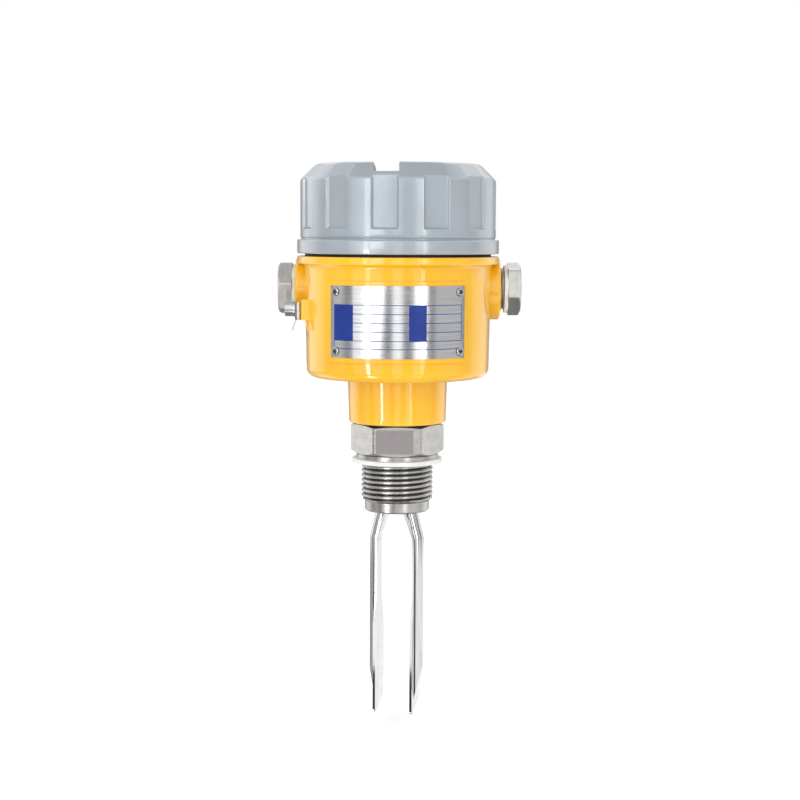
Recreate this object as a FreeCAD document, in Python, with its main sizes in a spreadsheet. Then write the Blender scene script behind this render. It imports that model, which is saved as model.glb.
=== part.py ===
import FreeCAD, Part

import math
import os
from types import SimpleNamespace

import Sketcher

Vector = FreeCAD.Vector
Rotation = FreeCAD.Rotation
Placement = FreeCAD.Placement

# Driving sizes in millimetres and degrees: word, value, what it is

SIZES = [
    # Threaded process connection
    ("thread_radius", 16.62, "outer radius of the pipe thread"),
    ("thread_length", 19.9, "from the sealing face to the end of the thread"),
    ("thread_lead", 1.2, "chamfer at the start of the thread"),
    ("nose_radius", 15.0, "plain nose below the thread"),
    ("nose_length", 4.9, "plain nose below the thread"),
    ("nose_chamfer", 0.6, "edge of the nose"),
    ("washer_face_radius", 19.0, "turned collar under the hexagon"),
    ("washer_face_height", 2.0, "turned collar under the hexagon"),
    ("hex_flats", 38.0, "across the flats of the hexagon"),
    ("hex_turned_radius", 21.65, "hexagon corners are turned to this"),
    ("hex_height", 14.0, "hexagon"),
    ("hex_bevel_radius", 18.6, "where the corner bevel starts on the end face"),
    ("hex_bevel_height", 1.75, "lower corner bevel, measured along the corner"),
    ("hex_crown_height", 0.7, "upper corner bevel, measured along the corner"),
    ("shank_radius", 15.95, "threaded shank inside the neck"),
    ("shank_length", 22.0, "shank above the hexagon"),
    ("sensor_bore_radius", 10.5, "bore that holds the drive stack"),
    ("thread_play", 0.05, "radial play of a screwed joint"),
    ("gasket_radius", 21.0, "flat gasket of the process thread"),
    ("gasket_height", 2.0, "flat gasket of the process thread"),
    ("gasket_play", 0.9, "gasket bore over the thread"),
    ("neck_seal_play", 0.2, "neck seal over the shank"),
    ("neck_seal_width", 3.0, "neck seal, measured outwards"),
    # Fork
    ("fork_turn", -14.0, "the fork stands turned about the axis"),
    ("membrane_radius", 12.6, "disc that carries the tines"),
    ("membrane_height", 1.6, "disc that carries the tines"),
    ("weld_play", 0.02, "radial play of a welded joint"),
    ("tine_inner", 8.3, "axis to the flat inner face of a tine"),
    ("tine_crest", 12.9, "axis to the crest of the rib"),
    ("neck_inner", 3.5, "axis to the inner face at the membrane"),
    ("neck_crest", 9.7, "axis to the crest at the membrane"),
    ("stem_width", 8.0, "width of the stem and of its rib"),
    ("blade_width", 16.0, "width of the paddle"),
    ("blade_thickness", 1.15, "thickness at the paddle's edges"),
    ("neck_drop", 13.2, "membrane to the straight stem"),
    ("flare_start", 42.2, "membrane to the start of the paddle"),
    ("flare_end", 53.8, "membrane to the full width of the paddle"),
    ("front_drop", 96.2, "membrane to the tip at the front edge"),
    ("rear_drop", 91.0, "membrane to the tip at the rear edge"),
    ("bevel_start", 72.5, "membrane to where the rib begins to fall away"),
    ("bevel_end", 89.0, "membrane to where the rib has run out"),
    ("bevel_lift", 0.3, "the cut that slopes the rib starts outside its crest"),
    ("bevel_sink", 0.2, "the same cut ends under the paddle's face"),
    ("paddle_root", 3.0, "paddle into the stem above its flare"),
    ("front_tip_round", 1.2, "front corner of the paddle"),
    ("rear_tip_round", 4.0, "rear corner of the paddle"),
    # Cast housing
    ("neck_gap", 0.8, "gap over the hexagon, filled by the neck seal"),
    ("neck_foot_radius", 22.5, "neck at its lower end"),
    ("neck_top_radius", 23.1, "neck where it meets the body"),
    ("neck_length", 21.2, "neck"),
    ("neck_round", 0.8, "lower edge of the neck"),
    ("body_foot_radius", 42.1, "body at its lower end"),
    ("body_draft", 1.0, "body wider under the collar than at its lower end"),
    ("body_height", 51.9, "body from its underside to the collar"),
    ("body_round", 4.0, "lower edge of the body"),
    ("collar_overhang", 3.4, "flange beyond the body under it"),
    ("collar_height", 3.6, "flange that the cap meets"),
    ("collar_hollow", 1.8, "fillet under the flange"),
    ("collar_foot_round", 0.9, "lower edge of the flange"),
    ("collar_top_round", 0.6, "upper edge of the flange"),
    ("spigot_step", 5.5, "flange beyond the cap thread"),
    ("spigot_height", 13.2, "threaded spigot above the flange"),
    ("body_wall", 5.6, "wall around the wiring chamber"),
    ("floor_thickness", 7.0, "floor of the wiring chamber"),
    ("wire_bore_radius", 8.0, "bore from the neck to the chamber"),
    ("bore_relief", 0.5, "space over the end of the shank"),
    ("boss_drop", 11.6, "axis of the conduit entries under the flange"),
    ("boss_back", 9.0, "axis of the conduit entries behind the housing's axis"),
    ("boss_radius", 14.3, "conduit boss"),
    ("boss_reach", 1.0, "face of a conduit boss beyond the flange"),
    ("boss_round", 1.2, "edge of a conduit boss"),
    ("conduit_radius", 10.0, "threaded conduit entry"),
    # Nameplate
    ("pad_rise", 1.3, "raised pad under the nameplate, over the body"),
    ("pad_root", 2.0, "raised pad set into the body"),
    ("pad_half_angle", 44.5, "raised pad under the nameplate"),
    ("pad_foot", 46.8, "lower edge of the pad over the sealing face"),
    ("pad_height", 36.2, "raised pad"),
    ("plate_half_angle", 42.6, "nameplate"),
    ("plate_thickness", 0.5, "nameplate"),
    ("plate_foot", 49.0, "lower edge of the nameplate over the sealing face"),
    ("plate_height", 32.0, "nameplate"),
    ("plate_screw_angle", 39.0, "azimuth of the nameplate screws"),
    ("plate_screw_inset", 2.8, "plate edge to the screw, up and down"),
    ("plate_screw_radius", 1.2, "shank of a nameplate screw"),
    ("plate_screw_head", 1.9, "head radius of a nameplate screw"),
    ("plate_screw_dome", 0.9, "head height of a nameplate screw"),
    ("plate_screw_rim", 0.45, "head height of a nameplate screw at its rim"),
    ("plate_screw_crown", 1.15, "flat top of a nameplate screw"),
    ("plate_screw_length", 3.6, "shank of a nameplate screw"),
    # Ground terminal
    ("ground_room", 0.2, "folded clamp in front of the conduit boss"),
    ("ground_drop", 8.8, "screw under the axis of the conduit entries"),
    ("ground_reach", 0.8, "face of the ground pad beyond the body"),
    ("ground_pad_width", 10.0, "ground pad"),
    ("ground_pad_up", 4.3, "pad above the screw"),
    ("ground_pad_down", 5.1, "pad below the screw"),
    ("gusset_drop", 8.5, "fin below the ground pad"),
    ("gusset_run", 1.9, "slope of the fin, measured inwards"),
    ("gusset_thickness", 2.0, "fin below the ground pad"),
    ("gusset_inset", 1.5, "fin behind the face of the ground pad"),
    ("clamp_gap", 3.0, "outside width of the folded clamp"),
    ("clamp_sheet", 0.6, "sheet of the folded clamp"),
    ("clamp_fold", 1.0, "corners of the folded clamp"),
    ("clamp_width", 8.8, "folded clamp, front to back"),
    ("clamp_up", 3.0, "clamp above the screw"),
    ("clamp_down", 5.0, "clamp below the screw"),
    ("tail_reach", 5.4, "bent tail of the clamp"),
    ("tail_tilt", 20.0, "bent tail of the clamp, from upright"),
    ("tail_width", 5.0, "bent tail of the clamp"),
    ("tail_root", 0.4, "bent tail into the leaf that carries it"),
    ("ground_hole_play", 0.2, "clamp and lock washer over the screw"),
    ("ground_washer_radius", 3.7, "lock washer"),
    ("ground_washer_height", 0.6, "lock washer"),
    ("ground_screw_radius", 2.0, "ground screw thread"),
    ("ground_head_radius", 3.5, "ground screw head"),
    ("ground_head_height", 4.0, "ground screw head"),
    ("ground_socket_flats", 3.0, "socket in the ground screw head"),
    ("ground_socket_depth", 2.2, "socket in the ground screw head"),
    ("ground_thread_length", 6.0, "ground screw thread inside the pad"),
    ("tap_run", 0.5, "tapped hole beyond the end of its screw"),
    # Screw cap and its seal
    ("seal_height", 1.2, "seal between the flange and the cap"),
    ("seal_width", 1.6, "seal, measured outwards"),
    ("cap_play", 0.3, "cap thread over the spigot"),
    ("cap_height", 40.8, "cap from its rim to the crown"),
    ("cap_ring_height", 6.4, "base ring of the cap"),
    ("cap_ring_round", 0.7, "upper edge of the base ring"),
    ("cap_line_depth", 0.4, "fine groove above the base ring"),
    ("cap_line_height", 0.9, "fine groove above the base ring"),
    ("cap_wall_step", 1.5, "base ring beyond the fluted wall"),
    ("cap_wall_height", 33.5, "rim to the shoulder"),
    ("crown_round", 4.5, "edge of the crown"),
    ("shoulder_round", 2.5, "edge between wall and shoulder"),
    ("crown_thickness", 8.0, "crown over the hollow"),
    ("cap_thread_step", 1.8, "cap thread beyond the hollow above it"),
    ("cap_run_out", 1.0, "cap thread above the end of the spigot"),
    ("flute_count", 12, "flutes around the wall"),
    ("flute_azimuth", -7.5, "turn of the first flute from the front"),
    ("flute_width", 11.5, "flute"),
    ("flute_depth", 1.7, "flute"),
    ("flute_foot", 11.5, "rim to the foot of a flute"),
    ("flute_shoulder_depth", 0.5, "flute in the shoulder, measured inwards"),
    ("slot_width", 11.2, "slot across the crown"),
    ("slot_centre", -5.2, "slot beside the axis"),
    ("slot_depth", 4.4, "slot across the crown"),
    # Conduit plugs
    ("plug_flats", 22.0, "across the flats of a plug head"),
    ("plug_turned_radius", 12.5, "corners of a plug head are turned to this"),
    ("plug_bevel_radius", 10.6, "where the corner bevel starts"),
    ("plug_bevel_depth", 1.1, "corner bevel along the plug"),
    ("plug_lead", 0.8, "chamfer at the start of a plug thread"),
    ("plug_play", 0.1, "plug thread in the conduit entry"),
    ("plug_shank_length", 13.0, "plug below its head"),
    ("plug_hollow_radius", 6.5, "hollow in the plug's shank"),
    ("plug_hollow_depth", 9.0, "hollow in the plug's shank"),
    ("plug_washer_radius", 11.2, "sealing washer of a plug"),
    ("plug_washer_play", 0.3, "washer bore over the plug"),
    ("left_washer_height", 1.6, "sealing washer, left"),
    ("left_head_height", 6.5, "plug head, left"),
    ("left_plug_turn", -10.7, "rest angle of the left plug"),
    ("right_washer_height", 1.8, "sealing washer, right"),
    ("right_head_height", 5.9, "plug head, right"),
    ("right_plug_turn", 16.4, "rest angle of the right plug"),
    ("right_plug_slack", 1.9, "the right plug isn't screwed home"),
    # Drive stack in the process connection
    ("drive_bolt_radius", 2.5, "bolt that clamps the stack"),
    ("drive_bolt_length", 17.5, "bolt that clamps the stack"),
    ("stack_bore_radius", 2.8, "bore of the discs over the bolt"),
    ("stack_radius", 7.0, "insulator discs"),
    ("insulator_height", 1.5, "insulator discs"),
    ("piezo_radius", 6.3, "ceramic drive discs"),
    ("piezo_height", 2.0, "ceramic drive discs"),
    ("piezo_count", 4, "ceramic drive discs"),
    ("electrode_height", 0.2, "contact foils between the discs"),
    ("electrode_radius", 6.6, "contact foils between the discs"),
    ("nut_flats", 8.0, "nut on the drive bolt"),
    ("nut_height", 3.2, "nut on the drive bolt"),
    ("wire_radius", 0.6, "sensor wires"),
    ("wire_side", 5.8, "sensor wires before and behind the axis"),
    # Electronics insert
    ("cup_room", 3.0, "insert cup inside the wiring chamber"),
    ("cup_wall", 1.8, "insert cup"),
    ("cup_floor", 2.0, "insert cup"),
    ("cup_height", 21.0, "insert cup"),
    ("cup_wire_hole", 7.5, "hole for the sensor wires"),
    ("column_radius", 4.0, "columns for the fixing screws"),
    ("column_height", 14.4, "columns over the cup's floor"),
    ("column_inset", 5.3, "fixing screws inside the cup's outer wall"),
    ("board_room", 0.5, "circuit board inside the cup"),
    ("board_height", 1.6, "circuit board"),
    ("cover_height", 2.4, "cover of the insert"),
    ("fixing_radius", 1.5, "fixing screw of the insert"),
    ("fixing_play", 0.2, "holes over a fixing screw"),
    ("fixing_head_radius", 2.8, "fixing screw head"),
    ("fixing_head_height", 2.0, "fixing screw head"),
    ("fixing_depth", 5.0, "fixing screw in the housing floor"),
    ("window_play", 0.3, "windows of the cover around what shows in them"),
    # Terminals, switches and lamps on the circuit board
    ("terminal_count", 5, "poles of the terminal block"),
    ("terminal_pitch", 7.6, "poles of the terminal block"),
    ("terminal_ends", 1.0, "terminal block beyond its poles"),
    ("terminal_width", 11.0, "terminal block, front to back"),
    ("terminal_height", 15.0, "terminal block over the board"),
    ("terminal_side", 9.0, "terminal block behind the axis"),
    ("terminal_port", 3.6, "wire entry of a pole"),
    ("terminal_port_depth", 5.0, "wire entry of a pole"),
    ("terminal_port_rise", 7.0, "wire entry over the board"),
    ("terminal_well_radius", 2.3, "screw well of a pole"),
    ("terminal_well_depth", 4.0, "screw well of a pole"),
    ("terminal_screw_radius", 2.0, "head of a terminal screw"),
    ("terminal_screw_height", 2.2, "head of a terminal screw"),
    ("terminal_screw_shift", 1.5, "terminal screw in front of the block's middle"),
    ("terminal_slot", 0.8, "screwdriver slot of a terminal screw, wide and deep"),
    ("switch_length", 9.0, "mode switch block, side to side"),
    ("switch_width", 8.0, "mode switch block, front to back"),
    ("switch_height", 7.4, "mode switch block over the board"),
    ("switch_side", 13.0, "mode switch and trimmer beside the axis"),
    ("switch_front", 13.0, "mode switch and trimmer in front of the axis"),
    ("slider_pitch", 4.0, "between the two sliders"),
    ("slider_width", 1.6, "slider knob"),
    ("slider_length", 1.8, "slider knob along its travel"),
    ("slider_stroke", 2.4, "travel of a slider"),
    ("slider_depth", 1.4, "slot of a slider"),
    ("slider_rise", 0.8, "slider knob over the block"),
    ("slider_play", 0.15, "slider in its slot"),
    ("trimmer_radius", 3.6, "trimmer body"),
    ("trimmer_height", 7.0, "trimmer body over the board"),
    ("rotor_radius", 2.3, "trimmer rotor"),
    ("rotor_height", 2.2, "trimmer rotor"),
    ("rotor_sink", 1.4, "trimmer rotor in its body"),
    ("rotor_play", 0.1, "trimmer rotor in its body"),
    ("rotor_slot_width", 0.8, "screwdriver slot of the rotor"),
    ("rotor_slot_depth", 0.9, "screwdriver slot of the rotor"),
    ("lamp_radius", 1.5, "status lamps"),
    ("lamp_pitch", 7.0, "status lamps"),
    ("lamp_front", 19.5, "status lamps in front of the axis"),
    ("lamp_height", 7.6, "status lamps over the board, to their dome"),
    ("relay_length", 19.0, "relay"),
    ("relay_width", 15.0, "relay"),
    ("relay_height", 11.5, "relay"),
    ("transformer_length", 20.0, "transformer"),
    ("transformer_width", 16.0, "transformer"),
    ("transformer_height", 12.0, "transformer"),
    ("inside_side", 15.5, "relay and transformer beside the axis"),
    ("inside_back", 6.0, "relay and transformer behind the axis"),
    ("capacitor_radius", 5.0, "storage capacitor"),
    ("capacitor_height", 11.0, "storage capacitor"),
    ("capacitor_side", 16.0, "capacitor beside the axis"),
    ("capacitor_front", 13.0, "capacitor in front of the axis"),
    # Every piece
    ("overrun", 1.0, "a cut past the face it opens, and a joined piece into its neighbour"),
]


class Size:
    """A length or an angle: its value, and the formula on the sheet's cells that gives it."""

    def __init__(self, value, formula):
        self.value = float(value)
        self.formula = formula

    def __add__(self, other):
        other = as_size(other)
        return Size(self.value + other.value, "(%s + %s)" % (self.formula, other.formula))

    def __sub__(self, other):
        other = as_size(other)
        return Size(self.value - other.value, "(%s - %s)" % (self.formula, other.formula))

    def __mul__(self, other):
        other = as_size(other)
        return Size(self.value * other.value, "(%s * %s)" % (self.formula, other.formula))

    def __truediv__(self, other):
        other = as_size(other)
        return Size(self.value / other.value, "(%s / %s)" % (self.formula, other.formula))

    def __neg__(self):
        return Size(-self.value, "(0 - %s)" % self.formula)


def as_size(number):
    return number if isinstance(number, Size) else Size(number, repr(float(number)))


def sine(angle):
    return Size(math.sin(math.radians(angle.value)), "sin(%s)" % angle.formula)


def cosine(angle):
    return Size(math.cos(math.radians(angle.value)), "cos(%s)" % angle.formula)


def make_sheet(document):
    """The spreadsheet of driving sizes, and the same sizes for use in the formulas below."""
    sheet = document.addObject("Spreadsheet::Sheet", "sizes")
    sizes = {}
    for row, (word, value, meaning) in enumerate(SIZES, start=1):
        sheet.set("A%d" % row, word)
        sheet.set("B%d" % row, str(value))
        sheet.set("C%d" % row, meaning)
        sheet.setAlias("B%d" % row, word)
        sizes[word] = Size(value, "sizes." + word)
    document.recompute()
    return SimpleNamespace(**sizes)


doc = FreeCAD.newDocument("tuning_fork_level_switch")
dim = make_sheet(doc)
nodes = []

# Radii and reaches that more than one piece shares

body_top_radius = dim.body_foot_radius + dim.body_draft
collar_radius = body_top_radius + dim.collar_overhang
cap_wall_radius = collar_radius - dim.cap_wall_step
spigot_radius = collar_radius - dim.spigot_step
cap_bore_radius = spigot_radius + dim.cap_play
chamber_radius = dim.body_foot_radius - dim.body_wall
pad_radius = dim.body_foot_radius + dim.pad_rise
boss_face = collar_radius + dim.boss_reach
cup_radius = chamber_radius - dim.cup_room
column_side = cup_radius - dim.column_inset
ground_side = dim.boss_radius + dim.ground_room + dim.clamp_width / 2 - dim.boss_back
ground_face = body_top_radius + dim.ground_reach

# Heights over the sealing face that more than one piece shares

hex_top = dim.washer_face_height + dim.hex_height
neck_foot = hex_top + dim.neck_gap
body_foot = neck_foot + dim.neck_length
collar_foot = body_foot + dim.body_height
collar_top = collar_foot + dim.collar_height
boss_height = collar_foot - dim.boss_drop
ground_height = boss_height - dim.ground_drop
spigot_top = collar_top + dim.spigot_height
chamber_floor = body_foot + dim.floor_thickness
cap_foot = collar_top + dim.seal_height
cap_top = cap_foot + dim.cap_height
shank_top = hex_top + dim.shank_length
membrane_foot = -(dim.thread_length + dim.nose_length)
membrane_top = membrane_foot + dim.membrane_height
plate_top = dim.plate_foot + dim.plate_height
cup_top = chamber_floor + dim.cup_height
cover_top = cup_top + dim.cover_height
board_foot = chamber_floor + dim.cup_floor + dim.column_height
board_top = board_foot + dim.board_height


def bind(item, path, size):
    item.setExpression(path, as_size(size).formula)


def node(item, label):
    """Hands an object over as one named piece of the part."""
    item.Label = label
    nodes.append(item)
    return item


def move(item, across=0, along=0, up=0):
    bind(item, "Placement.Base.x", across)
    bind(item, "Placement.Base.y", along)
    bind(item, "Placement.Base.z", up)
    return item


TURNS = {
    "X": (Vector(0, 1, 0), 90),
    "-X": (Vector(0, 1, 0), -90),
    "Z": (Vector(0, 0, 1), 0),
}


def cylinder(name, radius, height, at=(0, 0, 0), towards="Z"):
    item = doc.addObject("Part::Cylinder", name)
    bind(item, "Radius", radius)
    bind(item, "Height", height)
    axis, angle = TURNS[towards]
    item.Placement = Placement(Vector(0, 0, 0), Rotation(axis, angle))
    return move(item, *at)


def box(name, lengths, at=(0, 0, 0)):
    item = doc.addObject("Part::Box", name)
    for path, size in zip(("Length", "Width", "Height"), lengths):
        bind(item, path, size)
    return move(item, *at)


def prism(name, flats, height, at=(0, 0, 0), towards="Z"):
    """A hexagonal prism across its flats."""
    item = doc.addObject("Part::Prism", name)
    item.Polygon = 6
    bind(item, "Circumradius", hexagon_corner(flats))
    bind(item, "Height", height)
    axis, angle = TURNS[towards]
    item.Placement = Placement(Vector(0, 0, 0), Rotation(axis, angle))
    return move(item, *at)


def cut(name, base, tool):
    item = doc.addObject("Part::Cut", name)
    item.Base = base
    item.Tool = tool
    return item


def fuse(name, pieces):
    item = doc.addObject("Part::MultiFuse", name)
    item.Shapes = pieces
    return item


def group(name, pieces):
    """Like pieces that stay separate solids in one node."""
    item = doc.addObject("Part::Compound", name)
    item.Links = pieces
    return item


def ring(name, outer, inner, height, at=(0, 0, 0), towards="Z"):
    disc = cylinder(name + "_disc", outer, height, at, towards)
    hole = cylinder(name + "_hole", inner, height, at, towards)
    return cut(name, disc, hole)


def origin_plane(body, role):
    for plane in body.Origin.OriginFeatures:
        if plane.Role == role:
            return plane
    raise ValueError("no origin plane " + role)


def new_body(name):
    return doc.addObject("PartDesign::Body", name)


def new_sketch(body, name, role, lift=None, azimuth=None):
    """A sketch on an origin plane, lifted along its normal or turned about the upright axis."""
    sketch = body.newObject("Sketcher::SketchObject", name)
    sketch.AttachmentSupport = [(origin_plane(body, role), "")]
    sketch.MapMode = "FlatFace"
    if azimuth is not None:
        sketch.AttachmentOffset = Placement(Vector(0, 0, 0), Rotation(Vector(0, 1, 0), 1))
        bind(sketch, "AttachmentOffset.Rotation.Angle", azimuth)
        if lift is not None:
            bind(sketch, "AttachmentOffset.Base.x", sine(azimuth) * lift)
            bind(sketch, "AttachmentOffset.Base.z", cosine(azimuth) * lift)
    elif lift is not None:
        bind(sketch, "AttachmentOffset.Base.z", lift)
    return sketch


def hold_point(sketch, edge, end, across, up):
    """Two dimensions from the sheet hold one end of an edge."""
    for kind, size in (("DistanceX", as_size(across)), ("DistanceY", as_size(up))):
        rule = Sketcher.Constraint(kind, -1, 1, edge, end, size.value)
        bind(sketch, "Constraints[%d]" % sketch.addConstraint(rule), size)


def draw_outline(sketch, corners):
    """A closed outline of straight edges. An edge whose corner names a bulge is an arc instead."""
    first = sketch.GeometryCount
    spots = [(as_size(corner[0]), as_size(corner[1])) for corner in corners]
    points = [Vector(across.value, up.value, 0) for across, up in spots]
    for index, corner in enumerate(corners):
        start = points[index]
        end = points[(index + 1) % len(points)]
        if len(corner) == 3:
            middle = (start + end) / 2
            chord = end - start
            outward = Vector(chord.y, -chord.x, 0).normalize()
            crest = middle + outward * corner[2].value
            sketch.addGeometry(Part.Arc(start, crest, end))
        else:
            sketch.addGeometry(Part.LineSegment(start, end))
    for index in range(len(corners)):
        join_ends(sketch, first, index, (index + 1) % len(corners))
    for index, (across, up) in enumerate(spots):
        hold_point(sketch, first + index, start_end(sketch, first + index), across, up)
    for index, corner in enumerate(corners):
        if len(corner) == 3:
            hold_bulge(sketch, first + index, spots, index, corner[2])
    return sketch


def start_end(sketch, edge):
    """Which end of an edge lies at the corner that it was drawn from: arcs may be drawn backwards."""
    shape = sketch.Geometry[edge]
    if isinstance(shape, Part.ArcOfCircle) and shape.Circle.Axis.z < 0:
        return 2
    return 1


def join_ends(sketch, first, before, after):
    ends = (3 - start_end(sketch, first + before), start_end(sketch, first + after))
    rule = Sketcher.Constraint("Coincident", first + before, ends[0], first + after, ends[1])
    sketch.addConstraint(rule)


def hold_bulge(sketch, edge, spots, index, bulge):
    """The radius of an arc from its chord along the height axis of a section and its bulge."""
    run = spots[(index + 1) % len(spots)][1] - spots[index][1]
    radius = (run * run / 4 + bulge * bulge) / (bulge * 2)
    rule = Sketcher.Constraint("Radius", edge, radius.value)
    bind(sketch, "Constraints[%d]" % sketch.addConstraint(rule), radius)


def draw_circle(sketch, radius, across=0, up=0):
    radius, across, up = as_size(radius), as_size(across), as_size(up)
    circle = Part.Circle(Vector(across.value, up.value, 0), Vector(0, 0, 1), radius.value)
    edge = sketch.addGeometry(circle)
    hold_point(sketch, edge, 3, across, up)
    rule = Sketcher.Constraint("Radius", edge, radius.value)
    bind(sketch, "Constraints[%d]" % sketch.addConstraint(rule), radius)
    return sketch


def draw_rectangle(sketch, low_across, low_up, high_across, high_up):
    corners = [(low_across, low_up), (high_across, low_up), (high_across, high_up), (low_across, high_up)]
    return draw_outline(sketch, corners)


def hexagon_corner(flats):
    """Centre to corner of a hexagon of that size across its flats."""
    return flats / (cosine(as_size(30)) * 2)


def draw_hexagon(sketch, flats):
    """A hexagon with a corner on the sketch's first axis."""
    corners = []
    for count in range(6):
        turn = as_size(60 * count)
        corners.append((hexagon_corner(flats) * cosine(turn), hexagon_corner(flats) * sine(turn)))
    return draw_outline(sketch, corners)


def feature(body, kind, name, profile):
    item = body.newObject("PartDesign::" + kind, name)
    item.Profile = profile
    return item


def turned(body, name, profile, axis="V_Axis"):
    item = feature(body, "Revolution", name, profile)
    item.ReferenceAxis = (profile, [axis])
    item.Angle = 360
    return item


def groove(body, name, profile, axis="V_Axis"):
    item = feature(body, "Groove", name, profile)
    item.ReferenceAxis = (profile, [axis])
    item.Angle = 360
    return must_remove(body, item)


def pad(body, name, profile, length, symmetric=False, backwards=False):
    item = feature(body, "Pad", name, profile)
    bind(item, "Length", length)
    item.SideType = "Symmetric" if symmetric else "One side"
    item.Reversed = backwards
    return item


def pocket(body, name, profile, length, symmetric=False, forwards=False):
    """A cut below the sketch, or above it when it runs forwards."""
    item = feature(body, "Pocket", name, profile)
    bind(item, "Length", length)
    item.SideType = "Symmetric" if symmetric else "One side"
    item.Reversed = forwards
    return must_remove(body, item)


def must_remove(body, item):
    """A cut that points away from the solid removes nothing, which would pass unseen."""
    doc.recompute()
    before = item.BaseFeature.Shape.Volume
    if not item.Shape.Volume < before - 1e-6:
        raise RuntimeError("%s of %s removes nothing" % (item.Name, body.Name))
    return item


def edges_where(shape, test):
    """Names of the edges whose box passes a test."""
    names = []
    for number, edge in enumerate(shape.Edges, start=1):
        if test(edge, edge.BoundBox):
            names.append("Edge%d" % number)
    return names


def close(one, other):
    return abs(one - as_size(other).value) < 1e-3


def level_ring(radius, height):
    """Test for a round edge of that radius, lying flat at that height."""

    def test(edge, extent):
        round_edge = isinstance(edge.Curve, Part.Circle) and close(edge.Curve.Radius, radius)
        return round_edge and close(extent.ZMin, height) and close(extent.ZMax, height)

    return test


def fillet(body, name, radius, *tests):
    doc.recompute()
    base = body.Tip
    picked = edges_where(base.Shape, lambda edge, extent: any(test(edge, extent) for test in tests))
    if not picked:
        raise RuntimeError("%s of %s finds no edge" % (name, body.Name))
    item = body.newObject("PartDesign::Fillet", name)
    item.Base = (base, picked)
    bind(item, "Radius", radius)
    doc.recompute()
    return item


# Housing: one casting with neck, body, flange, threaded spigot, conduit bosses and pads


def make_housing():
    body = new_body("housing_casting")
    section = draw_outline(new_sketch(body, "housing_section", "XZ_Plane"), [
        (0, neck_foot),
        (dim.neck_foot_radius, neck_foot),
        (dim.neck_top_radius, body_foot),
        (dim.body_foot_radius, body_foot),
        (body_top_radius, collar_foot),
        (collar_radius, collar_foot),
        (collar_radius, collar_top),
        (spigot_radius, collar_top),
        (spigot_radius, spigot_top),
        (0, spigot_top),
    ])
    turned(body, "housing_blank", section)
    fillet(body, "body_edge", dim.body_round, level_ring(dim.body_foot_radius, body_foot))
    fillet(body, "neck_edge", dim.neck_round, level_ring(dim.neck_foot_radius, neck_foot))
    fillet(body, "flange_hollow", dim.collar_hollow, level_ring(body_top_radius, collar_foot))
    fillet(body, "flange_foot_edge", dim.collar_foot_round, level_ring(collar_radius, collar_foot))
    fillet(body, "flange_top_edge", dim.collar_top_round, level_ring(collar_radius, collar_top))
    add_bosses(body)
    add_nameplate_pad(body)
    add_ground_pad(body)
    hollow_housing(body)
    drill_housing(body)
    return node(body, "housing")


def add_bosses(body):
    face = new_sketch(body, "boss_section", "YZ_Plane")
    draw_circle(face, dim.boss_radius, dim.boss_back, boss_height)
    pad(body, "conduit_bosses", face, boss_face * 2, symmetric=True)

    def boss_rim(edge, extent):
        on_face = close(abs(extent.XMin), boss_face) and close(abs(extent.XMax), boss_face)
        return on_face and isinstance(edge.Curve, Part.Circle)

    fillet(body, "boss_edges", dim.boss_round, boss_rim)


def add_nameplate_pad(body):
    inner = dim.body_foot_radius - dim.pad_root
    pad_top = dim.pad_foot + dim.pad_height
    section = new_sketch(body, "pad_section", "YZ_Plane")
    draw_rectangle(section, -pad_radius, dim.pad_foot, -inner, pad_top)
    item = turned(body, "nameplate_pad", section)
    bind(item, "Angle", dim.pad_half_angle * 2)
    item.Midplane = True
    body.Tip = item


def add_ground_pad(body):
    face = new_sketch(body, "ground_pad_section", "YZ_Plane")
    half = dim.ground_pad_width / 2
    low = ground_height - dim.ground_pad_down
    high = ground_height + dim.ground_pad_up
    draw_rectangle(face, -ground_side - half, low, half - ground_side, high)
    pad(body, "ground_pad", face, ground_face, backwards=True)
    fin = new_sketch(body, "gusset_section", "XZ_Plane", lift=ground_side)
    edge = ground_face - dim.gusset_inset
    root = edge - dim.gusset_run
    draw_outline(fin, [
        (-edge, low + dim.overrun),
        (-edge, low),
        (-root, low - dim.gusset_drop),
        (-root, low + dim.overrun),
    ])
    pad(body, "ground_gusset", fin, dim.gusset_thickness, symmetric=True)


def hollow_housing(body):
    bore = dim.shank_radius + dim.thread_play
    bore_top = shank_top + dim.bore_relief
    section = draw_outline(new_sketch(body, "chamber_section", "XZ_Plane"), [
        (0, neck_foot - dim.overrun),
        (bore, neck_foot - dim.overrun),
        (bore, bore_top),
        (dim.wire_bore_radius, bore_top),
        (dim.wire_bore_radius, chamber_floor),
        (chamber_radius, chamber_floor),
        (chamber_radius, spigot_top + dim.overrun),
        (0, spigot_top + dim.overrun),
    ])
    groove(body, "wiring_chamber", section)


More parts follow.
